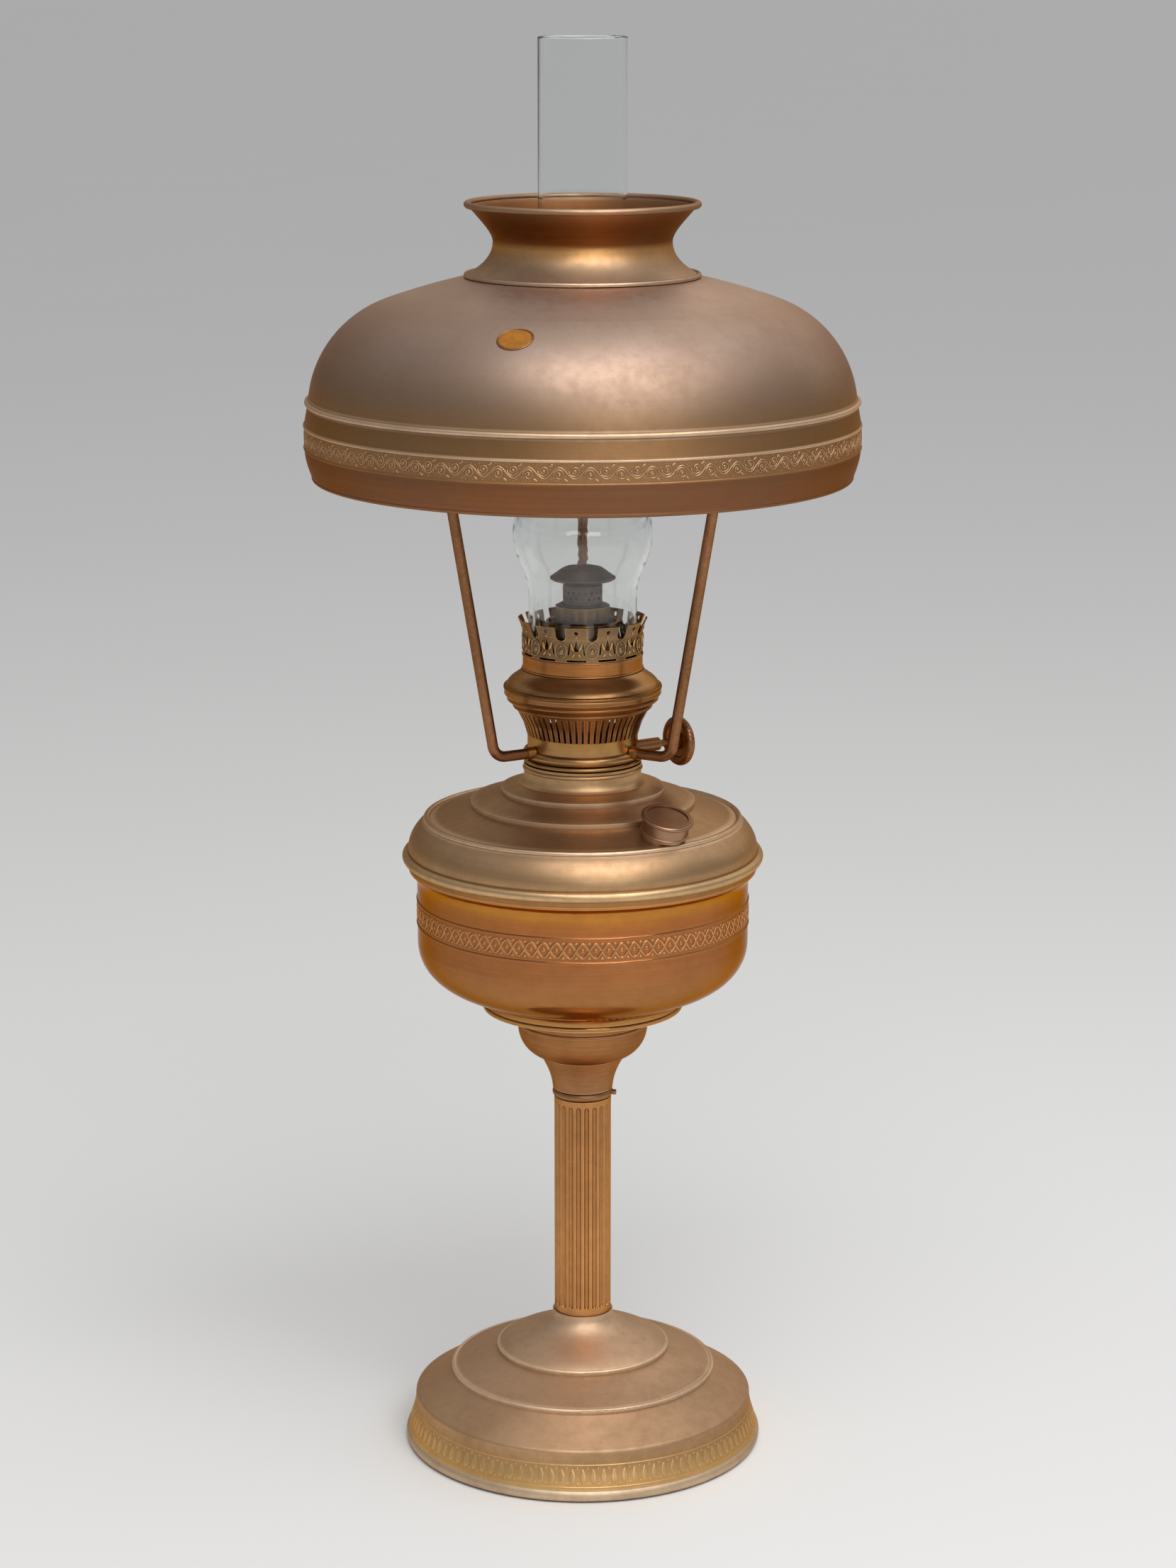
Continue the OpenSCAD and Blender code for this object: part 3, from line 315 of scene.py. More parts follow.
def cotton(name):
    f = Finish(name)
    f.set(Sheen_Weight=0.4)
    weave = {"Vector": f.place, "Scale": 420.0, "Distortion": 1.2, "Detail": 2.0}
    turns = f.node("ShaderNodeTexWave", weave, wave_type="BANDS", bands_direction="Z").outputs["Fac"]
    fibre = f.noise(2400.0, detail=3.0, roughness=0.6)
    char = f.span(f.split()["Z"], CHAR_LOW_Z, CHAR_HIGH_Z)
    color = f.mix(f.math("MULTIPLY", fibre, 0.5), (0.78, 0.73, 0.61), (0.52, 0.46, 0.36))
    f.feed("Base Color", f.mix(char, color, (0.03, 0.025, 0.02)))
    f.feed("Roughness", f.span(fibre, 0.2, 0.8, to_low=0.8, to_high=0.98))
    f.bump(f.math("ADD", turns, fibre), strength=0.6, distance=0.25 * MM)
    return f.material


def leather(name):
    f = Finish(name)
    grain = f.node("ShaderNodeTexVoronoi", {"Vector": f.place, "Scale": 1800.0}).outputs["Distance"]
    cloud = f.noise(120.0)
    f.feed("Base Color", f.mix(cloud, (0.20, 0.10, 0.05), (0.36, 0.21, 0.11)))
    f.feed("Roughness", f.span(cloud, 0.3, 0.7, to_low=0.45, to_high=0.7))
    f.bump(grain, strength=0.4, distance=0.15 * MM)
    return f.material


def cast_iron(name):
    f = Finish(name)
    f.set(Metallic=0.6)
    grit = f.noise(700.0, detail=6.0, roughness=0.7)
    rust = f.span(f.noise(45.0, detail=5.0, roughness=0.65), 0.52, 0.7)
    f.feed("Base Color", f.mix(rust, (0.075, 0.072, 0.07), (0.17, 0.075, 0.035)))
    f.feed("Roughness", f.span(grit, 0.2, 0.8, to_low=0.6, to_high=0.9))
    f.bump(grit, strength=0.7, distance=0.5 * MM)
    return f.material


def drawn_steel(name):
    f = Finish(name)
    f.set(Metallic=1.0)
    streak = f.turned(2600.0)
    f.feed("Base Color", f.mix(streak, (0.42, 0.42, 0.41), (0.60, 0.59, 0.57)))
    f.feed("Roughness", f.span(streak, 0.3, 0.7, to_low=0.28, to_high=0.45))
    f.bump(streak, strength=0.2, distance=0.1 * MM)
    return f.material


def lacquer(name):
    """Amber lacquer on the oval plate."""
    f = Finish(name)
    f.set(Specular_IOR_Level=0.3, Coat_Weight=0.1, Coat_Roughness=0.2)
    cloud = f.noise(260.0, detail=5.0, roughness=0.6)
    f.feed("Base Color", f.mix(f.span(cloud, 0.35, 0.7), (0.38, 0.14, 0.006), (0.29, 0.095, 0.004)))
    f.feed("Roughness", f.span(cloud, 0.3, 0.7, to_low=0.3, to_high=0.45))
    f.bump(cloud, strength=0.08, distance=0.1 * MM)
    return f.material


def floor_paint(name):
    f = Finish(name)
    cloud = f.noise(1.6, roughness=0.5)
    f.feed("Base Color", f.mix(cloud, (0.82, 0.81, 0.79), (0.84, 0.83, 0.815)))
    f.feed("Roughness", f.span(cloud, 0.3, 0.7, to_low=0.75, to_high=0.85))
    return f.material


# Tints of the metal: patina, rubbed metal, and painted highlights along the rings and beads
DARK = (0.15, 0.085, 0.045)
POLISH_AND_HIGHLIGHT = (0.84, 0.60, 0.38)
COPPER_DARK = (0.17, 0.07, 0.025)
COPPER_POLISH = (0.78, 0.45, 0.20)
FOOT_STEP_HIGHLIGHT = (0.90, 0.68, 0.46)
BRIM_BEAD_HIGHLIGHT = (0.72, 0.48, 0.25)
BELT_EDGE_HIGHLIGHT = (0.76, 0.54, 0.35)
SHADE_BEAD_HIGHLIGHT = (0.76, 0.55, 0.37)

# Tints that change with height, as pairs of a height in millimetres and the tint there
# The two narrow bright bands are painted highlights on the beads of the foot's steps
FOOT = [
    (0, (0.72, 0.56, 0.40)), (5, (0.72, 0.55, 0.37)), (7, (0.78, 0.47, 0.16)),
    (18, (0.56, 0.33, 0.15)), (25, (0.60, 0.38, 0.22)), (36.6, (0.60, 0.385, 0.23)),
    (37.2, FOOT_STEP_HIGHLIGHT), (38.6, FOOT_STEP_HIGHLIGHT), (39.2, (0.60, 0.39, 0.24)),
    (47.4, (0.62, 0.405, 0.25)), (48, FOOT_STEP_HIGHLIGHT), (49.4, FOOT_STEP_HIGHLIGHT),
    (50, (0.64, 0.43, 0.275)), (68, (0.78, 0.55, 0.37)),
]
# The narrow bright bands on the font's bead and ridges are painted highlights; the polished tint is also the
# rubbed-metal tint
SATIN = [
    (180, (0.42, 0.20, 0.085)), (205, (0.40, 0.16, 0.05)), (226, (0.41, 0.165, 0.05)),
    (298, (0.48, 0.20, 0.05)), (301, (0.50, 0.22, 0.06)), (302.2, BRIM_BEAD_HIGHLIGHT),
    (306.5, BRIM_BEAD_HIGHLIGHT), (308, (0.56, 0.335, 0.16)), (321.3, (0.54, 0.335, 0.19)),
    (321.9, POLISH_AND_HIGHLIGHT), (323.9, POLISH_AND_HIGHLIGHT), (324.4, (0.54, 0.335, 0.19)),
    (331, (0.57, 0.36, 0.21)), (331.4, POLISH_AND_HIGHLIGHT), (332.3, POLISH_AND_HIGHLIGHT),
    (332.7, (0.58, 0.37, 0.22)), (337.6, (0.60, 0.385, 0.235)), (338, POLISH_AND_HIGHLIGHT),
    (338.9, POLISH_AND_HIGHLIGHT), (339.3, (0.60, 0.385, 0.235)), (342, (0.80, 0.51, 0.26)),
    (352, (0.80, 0.51, 0.26)),
]
BOWL = [
    (227, (0.52, 0.28, 0.10)), (234, (0.48, 0.21, 0.065)), (247, (0.46, 0.205, 0.07)),
    (262, (0.40, 0.15, 0.052)), (283, (0.42, 0.14, 0.042)), (288, (0.45, 0.155, 0.04)),
    (292, (0.53, 0.205, 0.035)), (295, (0.56, 0.235, 0.04)), (296, (0.54, 0.22, 0.045)),
    (300, (0.50, 0.20, 0.045)),
]
# The burner's dome, lighter from just above its rim up to the gallery, is painted light; the dark band at the
# rim's crease is painted shade
BURNER = [
    (351, (0.52, 0.31, 0.13)), (358, (0.50, 0.29, 0.12)), (364, (0.52, 0.28, 0.085)),
    (366, (0.33, 0.135, 0.045)), (378, (0.31, 0.135, 0.05)), (386, (0.36, 0.16, 0.055)),
    (389, (0.24, 0.10, 0.03)), (391.5, (0.52, 0.28, 0.12)), (397, (0.58, 0.32, 0.15)),
    (398, (0.52, 0.19, 0.05)), (404, (0.50, 0.19, 0.055)), (407, (0.25, 0.16, 0.08)),
    (430, (0.24, 0.165, 0.095)),
]
# Besides patina and the heat tint of the neck: the dark skirt is painted shade, the crown lighter towards the
# neck is painted light, and the narrow bright bands are painted highlights on the belt's edge and the bead
SHADE = [
    (491, (0.34, 0.16, 0.08)), (494, (0.24, 0.093, 0.038)), (506, (0.24, 0.093, 0.038)),
    (507, (0.42, 0.215, 0.09)), (516.5, (0.40, 0.21, 0.088)), (516.9, BELT_EDGE_HIGHLIGHT),
    (517.9, BELT_EDGE_HIGHLIGHT), (518.3, (0.35, 0.185, 0.075)), (526, (0.33, 0.175, 0.072)),
    (527.2, SHADE_BEAD_HIGHLIGHT), (530, SHADE_BEAD_HIGHLIGHT), (531, (0.38, 0.22, 0.11)),
    (544, (0.37, 0.25, 0.175)), (562, (0.44, 0.315, 0.25)), (574, (0.57, 0.42, 0.33)),
    (580, (0.70, 0.53, 0.42)), (586, (0.74, 0.56, 0.45)), (588, (0.60, 0.43, 0.30)),
    (595, (0.50, 0.34, 0.21)), (602, (0.70, 0.36, 0.13)), (605, (0.21, 0.062, 0.010)),
    (614, (0.20, 0.065, 0.013)), (619, (0.24, 0.10, 0.04)), (624, (0.60, 0.42, 0.28)),
]
# Flame spreader: darker than the tubes below it
SOOT = [
    (351, (0.20, 0.135, 0.08)), (428, (0.20, 0.135, 0.08)), (431, (0.13, 0.085, 0.065)),
    (450, (0.13, 0.085, 0.065)),
]

# Finishes of the record's material slots
FINISHES = {
    "satin_brass": brass("satin_brass", SATIN, DARK, POLISH_AND_HIGHLIGHT, 0.43, brush=0.6),
    "bright_brass": brass("bright_brass", BOWL, COPPER_DARK, COPPER_POLISH, 0.17, stain=0.25, brush=0.4),
    "column_brass": brass("column_brass", (0.63, 0.29, 0.10), COPPER_DARK, COPPER_POLISH, 0.33,
                          groove=3.0, brush=0.4, deep=0.5, bare=0.94),
    "burner_brass": brass("burner_brass", BURNER, COPPER_DARK, COPPER_POLISH, 0.3),
    "arm_copper": brass("arm_copper", (0.30, 0.13, 0.055), (0.10, 0.045, 0.02), (0.62, 0.36, 0.20), 0.36,
                        lines=900.0, wear=0.4),
    "sooted_brass": brass("sooted_brass", SOOT, (0.07, 0.045, 0.035), (0.40, 0.28, 0.19), 0.46, wear=0.4),
    "shade_brass": brass("shade_brass", SHADE, (0.20, 0.115, 0.07), POLISH_AND_HIGHLIGHT, 0.47,
                         lines=900.0, wear=0.0, groove=0.7, brush=0.15),
    "chimney_glass": clear_glass("chimney_glass"),
    "wick_cotton": cotton("wick_cotton"),
    "seal_leather": leather("seal_leather"),
    "ballast_iron": cast_iron("ballast_iron"),
    "rod_steel": drawn_steel("rod_steel"),
}
# Finishes of the trim
TRIM_FINISHES = {
    "font": brass("font_band_brass", (0.56, 0.235, 0.095), COPPER_DARK, COPPER_POLISH, 0.3, groove=0.9),
    "shade": brass("shade_band_brass", (0.48, 0.26, 0.125), (0.20, 0.10, 0.05), POLISH_AND_HIGHLIGHT, 0.36,
                   wear=0.3, groove=0.8),
    "foot": brass("foot_band_brass", (0.78, 0.46, 0.15), (0.36, 0.18, 0.06), POLISH_AND_HIGHLIGHT, 0.4,
                  stain=0.5, wear=0.3, groove=0.8),
    "gallery": brass("gallery_rim_brass", (0.34, 0.22, 0.11), COPPER_DARK, POLISH_AND_HIGHLIGHT, 0.32, groove=1.0),
    "leaf": brass("gallery_leaf_brass", (0.66, 0.36, 0.08), COPPER_DARK, POLISH_AND_HIGHLIGHT, 0.3, groove=1.0),
    "label_rim": brass("label_rim_brass", (0.24, 0.11, 0.04), COPPER_DARK, COPPER_POLISH, 0.36, wear=0.2),
    "label": lacquer("amber_lacquer"),
}
# Parts whose look differs from the rest of their slot
OWN_FINISHES = {
    "foot_shell": brass("foot_brass", FOOT, DARK, POLISH_AND_HIGHLIGHT, 0.56, brush=0.4),
    "spindle_tube": FINISHES["arm_copper"],
    "filler_cap": brass("cap_brass", (0.38, 0.215, 0.135), (0.12, 0.06, 0.035), POLISH_AND_HIGHLIGHT, 0.36,
                        wear=0.4, brush=0.5),
}


def dress_packed_parts():
    """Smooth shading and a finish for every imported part. The meshes themselves stay as they are."""
    for part in frame["record"]["subparts"]:
        obj = NODES[part["node"]]
        mesh = obj.data
        mesh.materials.clear()
        mesh.materials.append(OWN_FINISHES.get(part["node"], FINISHES[part["material_slot"]]))
        if "custom_normal" in mesh.attributes:
            mesh.attributes.remove(mesh.attributes["custom_normal"])
        mesh.polygons.foreach_set("use_smooth", [True] * len(mesh.polygons))
        weld = obj.modifiers.new("weld", "WELD")
        weld.merge_threshold = WELD_GAP
        crease = obj.modifiers.new("crease", "EDGE_SPLIT")
        crease.split_angle = CREASE
        even = obj.modifiers.new("even", "WEIGHTED_NORMAL")
        even.keep_sharp = True


class Relief:
    """Low ornament drawn flat, u along the band and v up it, then laid round a turned surface."""

    # Cross-section of a strand: place across it and share of its height, None for the sunk foot
    SECTION = ((-1.0, None), (-0.72, 0.72), (0.0, 1.0), (0.72, 0.72), (1.0, None))
    # Rings of a dome: share of its outline and of its height
    RINGS = ((1.0, None), (0.86, 0.5), (0.5, 0.88))
    SINK = 0.12 * MM

    def __init__(self, radius):
        self.radius = radius
        self.girth = 2 * math.pi * radius
        self.points = []
        self.faces = []

    def add(self, u, v, rise, height):
        self.points.append((u, v, -self.SINK if rise is None else rise * height))

    def strand(self, line, half_width, height, closed=False):
        """A rounded ridge along a line of (u, v) points."""
        line = np.array(line, float)
        count = len(line)
        half_width = np.broadcast_to(half_width, count)
        height = np.broadcast_to(height, count)
        ahead = np.roll(line, -1, axis=0)
        behind = np.roll(line, 1, axis=0)
        if not closed:
            ahead[-1] = line[-1]
            behind[0] = line[0]
        run = ahead - behind
        run[:, 0] = (run[:, 0] + self.girth / 2) % self.girth - self.girth / 2
        run /= np.linalg.norm(run, axis=1)[:, None]
        across = np.stack([-run[:, 1], run[:, 0]], axis=1) * half_width[:, None]
        start = len(self.points)
        sides = len(self.SECTION)
        for i in range(count):
            for offset, rise in self.SECTION:
                u, v = line[i] + across[i] * offset
                self.add(u, v, rise, height[i])
        for i in range(count if closed else count - 1):
            here = start + i * sides
            there = start + (i + 1) % count * sides
            for j in range(sides):
                k = (j + 1) % sides
                self.faces.append((here + j, here + k, there + k, there + j))
        if not closed:
            last = start + (count - 1) * sides
            self.faces.append(tuple(range(start + sides - 1, start - 1, -1)))
            self.faces.append(tuple(range(last, last + sides)))

    def ring(self, v, half_width, height, sides):
        """A strand all the way round the band."""
        line = [(self.girth * i / sides, v) for i in range(sides)]
        self.strand(line, half_width, height, closed=True)

    def dome(self, outline, height, middle=None):
        """A closed blob over an outline of (u, v) points, highest over its middle."""
        outline = np.array(outline, float)
        middle = outline.mean(axis=0) if middle is None else np.array(middle, float)
        count = len(outline)
        start = len(self.points)
        for share, rise in self.RINGS:
            for u, v in middle + (outline - middle) * share:
                self.add(u, v, rise, height)
        self.points.append((middle[0], middle[1], height))
        top = len(self.points) - 1
        inner = top - count
        for low in range(start, inner, count):
            for i in range(count):
                k = (i + 1) % count
                self.faces.append((low + i, low + k, low + count + k, low + count + i))
        for i in range(count):
            self.faces.append((inner + i, inner + (i + 1) % count, top))
        self.faces.append(tuple(range(start + count - 1, start - 1, -1)))

    def bead(self, u, v, size, height, sides, turn=0.0):
        """An oval blob round (u, v); size is its half width and half height."""
        self.dome(oval(u, v, *size, sides, turn), height)

    def lay(self, name, finish, body, slot, middle_z, surface=None, wear=None):
        """Wraps the ornament on the surface, whose radius at a height is given by surface.

        wear gives the share of the height that is left at an angle.
        """
        u, v, rise = np.array(self.points).T
        angle = u / self.radius
        z = middle_z + v
        if wear is not None:
            rise = np.where(rise > 0, rise * wear(angle), rise)
        radius = rise + (self.radius if surface is None else surface(z))
        places = np.stack([radius * np.cos(angle), radius * np.sin(angle), z], axis=1)
        solid(name, places.tolist(), self.faces, finish, body)


def solid(name, places, faces, finish, body):
    """A smooth-shaded closed mesh that rides on a body."""
    mesh = bpy.data.meshes.new(name)
    mesh.from_pydata(places, [], faces)
    mesh.validate()
    mesh.polygons.foreach_set("use_smooth", [True] * len(mesh.polygons))
    mesh.materials.append(finish)
    obj = bpy.data.objects.new(name, mesh)
    bpy.context.scene.collection.objects.link(obj)
    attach(obj, body)


def oval(u, v, half_u, half_v, sides, turn=0.0):
    """Points of an oval round (u, v), turned by an angle."""
    made = []
    for i in range(sides):
        a = 2 * math.pi * i / sides
        x = half_u * math.cos(a)
        y = half_v * math.sin(a)
        across = x * math.cos(turn) - y * math.sin(turn)
        up = x * math.sin(turn) + y * math.cos(turn)
        made.append((u + across, v + up))
    return made


def tree_of(node):
    """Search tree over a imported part's faces."""
    mesh = NODES[node].data
    return BVHTree.FromPolygons([v.co for v in mesh.vertices], [p.vertices for p in mesh.polygons])


def surface_of(node, low_z, high_z):
    """Outer radius of a turned part between two heights, as a function of height."""
    tree = tree_of(node)
    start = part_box(node)[1].x * PROBE_START
    heights = np.linspace(low_z, high_z, PROBE_SAMPLES)
    way = Vector((math.cos(PROBE_BEARING), math.sin(PROBE_BEARING), 0))
    radii = [tree.ray_cast(way * start + Vector((0, 0, z)), -way)[0].xy.length for z in heights]
    return lambda z: np.interp(z, heights, radii)


def font_band():
    """Two strands that cross round the bowl, over and under in turn, with beads in and between the eyes."""
    steps = 20
    swing = 3.5 * MM
    half_width = 0.72 * MM
    under_h = 0.2 * MM
    over_h = 0.4 * MM
    eye_bead = (1.05 * MM, 1.15 * MM)
    eye_bead_h = 0.36 * MM
    edge_bead = (1.0 * MM, 0.7 * MM)
    edge_bead_h = 0.24 * MM
    edge_v = 3.6 * MM

    relief = Relief(FONT_BAND_R)
    pitch = relief.girth / FONT_BAND_EYES
    u = np.arange(FONT_BAND_EYES * steps) * pitch / steps
    for sign in (1, -1):
        wave = np.sin(math.pi * u / pitch) * swing * sign
        over = 0.5 + 0.5 * sign * np.cos(math.pi * u / pitch)
        height = under_h + (over_h - under_h) * over
        relief.strand(np.stack([u, wave], axis=1), half_width, height, closed=True)
    for i in range(FONT_BAND_EYES):
        relief.bead((i + 0.5) * pitch, 0, eye_bead, eye_bead_h, sides=10)
        for edge in (-1, 1):
            relief.bead(i * pitch, edge * edge_v, edge_bead, edge_bead_h, sides=8)
    relief.lay("font_band_ornament", TRIM_FINISHES["font"], "stand", "bright_brass", FONT_BAND_Z)


def scroll(u, v, flip):
    """A spiral that opens towards -u; flip is 1 or -1."""
    turns = 1.55
    steps = 29
    outer_r = 2.7 * MM
    inner_r = 0.6 * MM
    points = []
    for i in range(steps + 1):
        share = i / steps
        a = math.pi + flip * 2 * math.pi * turns * share
        r = outer_r + (inner_r - outer_r) * share
        points.append((u + r * math.cos(a), v + r * math.sin(a)))
    return points


def shade_band():
    """Running scrolls with leaves on a stippled ground round the shade's belt, worn most at the back left."""
    half_h = 4.6 * MM
    steps = 32
    swing = 2.5 * MM
    stem_half = 0.42 * MM
    stem_h = 0.28 * MM
    scroll_v = 0.9 * MM
    scroll_half = 0.4 * MM
    scroll_h = 0.3 * MM
    scroll_end = 0.55
    bud = (0.75 * MM, 0.75 * MM)
    bud_h = 0.34 * MM
    leaf_u = 3.1 * MM
    leaf_v = 3.3 * MM
    leaf_size = (1.5 * MM, 0.6 * MM)
    leaf_turn = 0.5
    leaf_sides = 8
    leaf_h = 0.3 * MM
    dot_tries = 46
    dot = (0.3 * MM, 0.3 * MM)
    dot_h = 0.2 * MM
    dot_reach = 4.2 * MM
    dot_gap = 0.75 * MM
    stem_gap = 0.85 * MM
    crisp_angle = math.radians(300)
    relief_left = 0.72
    relief_swing = 0.28

    surface = surface_of("shade_skirt", SHADE_BAND_Z - half_h, SHADE_BAND_Z + half_h)
    relief = Relief(float(surface(SHADE_BAND_Z)))
    unit = relief.girth / SHADE_BAND_SCROLLS
    u = np.arange(SHADE_BAND_SCROLLS * steps) * unit / steps
    stem = np.sin(2 * math.pi * u / unit) * swing
    relief.strand(np.stack([u, stem], axis=1), stem_half, stem_h, closed=True)
    stipple = random.Random(7)
    for i in range(SHADE_BAND_SCROLLS):
        left = i * unit
        taken = []
        for place, flip in ((0.25, -1), (0.75, 1)):
            middle = left + place * unit
            line = scroll(middle, flip * scroll_v, flip)
            taper = np.linspace(1.0, scroll_end, len(line))
            relief.strand(line, scroll_half * taper, scroll_h)
            relief.bead(middle, flip * scroll_v, bud, bud_h, sides=8)
            leaf = oval(middle + leaf_u, flip * leaf_v, *leaf_size, leaf_sides, flip * leaf_turn)
            relief.dome(leaf, leaf_h)
            taken += line + leaf
        for _ in range(dot_tries):
            x = left + stipple.random() * unit
            y = (stipple.random() * 2 - 1) * dot_reach
            wave = math.sin(2 * math.pi * x / unit) * swing
            clear = all(math.hypot(x - a, y - b) > dot_gap for a, b in taken)
            if clear and abs(y - wave) > stem_gap:
                taken.append((x, y))
                relief.bead(x, y, dot, dot_h, sides=6)

    def wear(angle):
        return relief_left + relief_swing * np.cos(angle - crisp_angle)

    relief.lay("shade_band_ornament", TRIM_FINISHES["shade"], "shade", "shade_brass", SHADE_BAND_Z,
               surface, wear)


def foot_band():
    """Worn upright leaves between two fine lines round the foot's skirt."""
    half_h = 6 * MM
    line_v = 5.2 * MM
    line_half = 0.4 * MM
    line_h = 0.16 * MM
    line_sides = 360
    leaf_sides = 14
    leaf_half_w = 1.75 * MM
    leaf_half_h = 3.9 * MM
    leaf_point = 0.45
    leaf_h = 0.11 * MM
    leaf_top_v = -0.8 * MM
    rib_low = -3.4 * MM
    rib_high = 2.6 * MM
    rib_steps = 9
    rib_half = 0.22 * MM
    rib_h = 0.15 * MM
    bead_v = 3.6 * MM
    bead = (0.55 * MM, 0.75 * MM)
    bead_h = 0.14 * MM
    relief_left = 0.55

    surface = surface_of("foot_shell", FOOT_BAND_Z - half_h, FOOT_BAND_Z + half_h)
    relief = Relief(float(surface(FOOT_BAND_Z)))
    pitch = relief.girth / FOOT_BAND_LEAVES
    for edge in (-1, 1):
        relief.ring(edge * line_v, line_half, line_h, line_sides)
    for i in range(FOOT_BAND_LEAVES):
        u = i * pitch
        leaf = []
        for across, up in oval(0, 0, 1, 1, leaf_sides):
            narrow = 1 - leaf_point * max(up, 0)
            leaf.append((u + leaf_half_w * across * narrow, leaf_half_h * up))
        relief.dome(leaf, leaf_h, (u, leaf_top_v))
        relief.strand([(u, v) for v in np.linspace(rib_low, rib_high, rib_steps)], rib_half, rib_h)
        for edge in (-1, 1):
            relief.bead(u + pitch / 2, edge * bead_v, bead, bead_h, sides=8)

    def wear(angle):
        broad = 0.3 * np.sin(3 * angle) * np.cos(5 * angle + 1)
        fine = 0.15 * np.sin(41 * angle)
        return relief_left + broad + fine

    relief.lay("foot_band_ornament", TRIM_FINISHES["foot"], "stand", "satin_brass", FOOT_BAND_Z,
               surface, wear)


def gallery_surface(z):
    """Radius of the gallery's crown, which flares above its bend."""
    share = np.clip((z - GALLERY_BEND_Z) / GALLERY_FLARE_H, 0, 1)
    return GALLERY_R + GALLERY_FLARE * share ** 2


def gallery_trim():
    """Oval rims with beads on the gallery's medallions, and gilt leaves round the piercings between them."""
    rim = (2.9 * MM, 3.9 * MM)
    rim_sides = 32
    rim_half = 0.36 * MM
    rim_h = 0.42 * MM
    boss = (1.3 * MM, 1.8 * MM)
    boss_v = -0.7 * MM
    boss_h = 0.5 * MM
    pearl = (0.55 * MM, 0.55 * MM)
    pearl_v = 2.3 * MM
    pearl_h = 0.4 * MM
    upper_leaf = (0.8 * MM, 2.5 * MM)
    upper_leaf_u = 2.1 * MM
    upper_leaf_v = 1.9 * MM
    upper_leaf_turn = -0.35
    upper_leaf_h = 0.55 * MM
    lower_leaf = (0.65 * MM, 1.4 * MM)
    lower_leaf_u = 1.5 * MM
    lower_leaf_v = -2.2 * MM
    lower_leaf_turn = 0.6
    lower_leaf_h = 0.45 * MM
    tip = (0.75 * MM, 0.8 * MM)
    tip_v = 6.6 * MM
    tip_h = 0.5 * MM

    rims = Relief(GALLERY_R)
    leaves = Relief(GALLERY_R)
    pitch = rims.girth / GALLERY_MOTIFS
    for i in range(GALLERY_MOTIFS):
        u = i * pitch + GALLERY_TURN * GALLERY_R
        rims.strand(oval(u, 0, *rim, rim_sides), rim_half, rim_h, closed=True)
        rims.bead(u, boss_v, boss, boss_h, sides=14)
        rims.bead(u, pearl_v, pearl, pearl_h, sides=8)
        u += pitch / 2
        for side in (-1, 1):
            leaves.bead(u + side * upper_leaf_u, upper_leaf_v, upper_leaf, upper_leaf_h,
                        sides=14, turn=side * upper_leaf_turn)
            leaves.bead(u + side * lower_leaf_u, lower_leaf_v, lower_leaf, lower_leaf_h,
                        sides=12, turn=side * lower_leaf_turn)
        leaves.bead(u, tip_v, tip, tip_h, sides=10)
    for name, relief, finish in (("gallery_medallions", rims, "gallery"), ("gallery_leaves", leaves, "leaf")):
        relief.lay(name, TRIM_FINISHES[finish], "burner", "burner_brass", GALLERY_ORNAMENT_Z, gallery_surface)


def label_plate():
    """Plain oval plate with a raised rim, bent to the shade's dome."""
    outside = 0.3
    above = 0.02
    hub_lift = 0.4 * MM
    # Profiles: share of the oval and lift from the shade in millimetres
    plate = [(0.9, -0.1), (0.9, 0.22), (0.82, 0.3), (0.6, 0.36), (0.3, 0.39)]
    rim = [(1.0, -0.1), (1.0, 0.25), (0.965, 0.46), (0.92, 0.46), (0.885, 0.24), (0.885, -0.1)]

    tree = tree_of("shade_shoulder")
    outward = Vector((math.cos(LABEL_ANGLE), math.sin(LABEL_ANGLE), 0))
    along = Vector((-math.sin(LABEL_ANGLE), math.cos(LABEL_ANGLE), 0))
    spot, normal, _, _ = tree.ray_cast(outward * outside + Vector((0, 0, LABEL_Z)), -outward)
    upward = normal.cross(along).normalized()

    def loop(share, lift):
        made = []
        for x, y in oval(0, 0, LABEL_HALF_W * share, LABEL_HALF_H * share, LABEL_SIDES, LABEL_TILT):
            start = spot + along * x + upward * y + normal * above
            made.append(tree.ray_cast(start, -normal)[0] + normal * lift)
        return made

    def oval_solid(name, profile, finish, hub=None):
        """A ring swept along the profile, or a filled plate where the hub's lift is given."""
        places = []
        faces = []
        for share, lift in profile:
            places += loop(share, lift * MM)
        last = len(profile) - 1
        pairs = [(k, k + 1) for k in range(last)]
        if hub is None:
            pairs.append((last, 0))
        else:
            places += [spot + normal * hub, spot - normal * LABEL_SINK]
        for i in range(LABEL_SIDES):
            k = (i + 1) % LABEL_SIDES
            for a, b in pairs:
                low = a * LABEL_SIDES
                high = b * LABEL_SIDES
                faces.append((low + i, low + k, high + k, high + i))
            if hub is not None:
                faces.append((last * LABEL_SIDES + i, last * LABEL_SIDES + k, len(places) - 2))
                faces.append((k, i, len(places) - 1))
        solid(name, [tuple(p) for p in places], faces, finish, "shade")

    oval_solid("label_plate", plate, TRIM_FINISHES["label"], hub_lift)
    oval_solid("label_rim", rim, TRIM_FINISHES["label_rim"])


def lay_floor():
    """Pale floor disc."""
    rim = []
    for i in range(FLOOR_SIDES):
        a = 2 * math.pi * i / FLOOR_SIDES
        rim.append((FLOOR_REACH * math.cos(a), FLOOR_REACH * math.sin(a), -FLOOR_DROP))
    mesh = bpy.data.meshes.new("floor")
    mesh.from_pydata(rim, [], [tuple(range(FLOOR_SIDES))])
    mesh.materials.append(floor_paint("floor_paint"))
    floor = bpy.data.objects.new("floor", mesh)
    bpy.context.scene.collection.objects.link(floor)


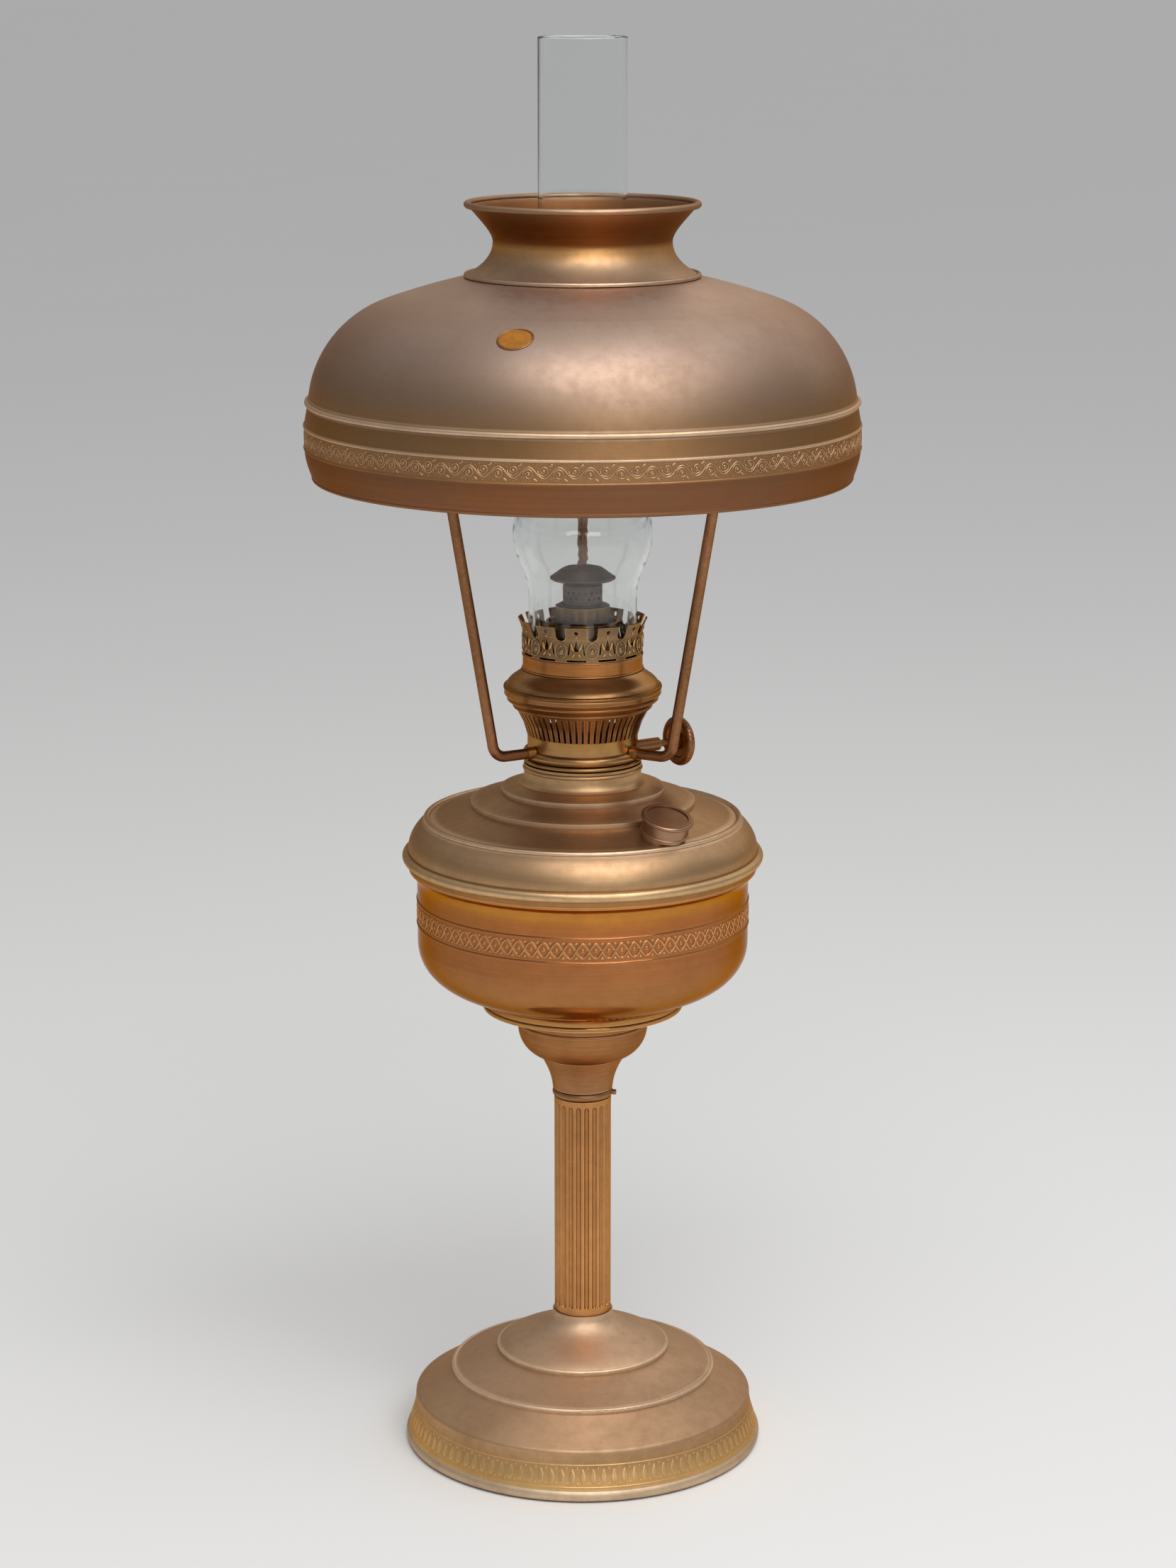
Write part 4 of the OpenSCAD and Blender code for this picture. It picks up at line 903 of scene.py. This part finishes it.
def light_world():
    """Soft light from all round, stronger overhead."""
    world = bpy.data.worlds.new("studio")
    world.use_nodes = True
    nodes = world.node_tree.nodes
    links = world.node_tree.links
    way = nodes.new("ShaderNodeSeparateXYZ")
    links.new(nodes.new("ShaderNodeTexCoord").outputs["Generated"], way.inputs[0])
    ceiling = nodes.new("ShaderNodeMapRange")
    ceiling.inputs["From Max"].default_value = ZENITH_FROM
    ceiling.inputs["To Min"].default_value = HORIZON_LIGHT
    ceiling.inputs["To Max"].default_value = ZENITH_LIGHT
    links.new(way.outputs["Z"], ceiling.inputs["Value"])
    backdrop = nodes["Background"]
    backdrop.inputs["Color"].default_value = opaque(WORLD_TINT)
    links.new(ceiling.outputs["Result"], backdrop.inputs["Strength"])
    bpy.context.scene.world = world


def add_light(name, kind, strength, place, aim):
    """A light at a place, turned towards its aim."""
    light = bpy.data.lights.new(name, kind)
    light.energy = strength
    obj = bpy.data.objects.new(name, light)
    obj.location = place
    obj.rotation_euler = (Vector(aim) - Vector(place)).to_track_quat("-Z", "Y").to_euler()
    bpy.context.scene.collection.objects.link(obj)
    return light


def light_box(name, watts, place, size, beam):
    """A soft box that faces the lamp; its beam, in degrees, is narrowed to spare the floor below it."""
    light = add_light(name, "AREA", watts, place, LIGHT_AIM)
    light.shape = "RECTANGLE"
    light.size, light.size_y = size
    light.spread = math.radians(beam)


def place_camera():
    """Camera at the photograph's viewing angle."""
    camera = bpy.data.cameras.new("photo_camera")
    camera.sensor_width = SENSOR_MM
    camera.lens = SENSOR_MM * FOCAL_PX / PHOTO_H
    camera.shift_x = (PHOTO_W / 2 - AXIS_PX) / PHOTO_H
    obj = bpy.data.objects.new("photo_camera", camera)
    obj.location = (0, -CAMERA_BACK, CAMERA_HEIGHT)
    obj.rotation_euler = (math.pi / 2 - CAMERA_PITCH, 0, 0)
    bpy.context.scene.collection.objects.link(obj)
    bpy.context.scene.camera = obj


def stage():
    """Pale floor, soft light and camera."""
    bpy.context.scene.view_settings.view_transform = "Standard"
    lay_floor()
    light_world()
    light_box("overhead_box", watts=36.2, place=(0.5, -1.2, 2.4), size=(2.2, 2.0), beam=160)
    light_box("front_box", watts=5.0, place=(0.7, -2.3, 1.15), size=(1.1, 1.0), beam=140)
    sun = add_light("back_light", "SUN", strength=0.4, place=(0.9, 1.0, 1.1), aim=(0, 0, 0))
    sun.angle = math.radians(70)
    place_camera()


dress_packed_parts()
font_band()
shade_band()
foot_band()
gallery_trim()
label_plate()
stage()
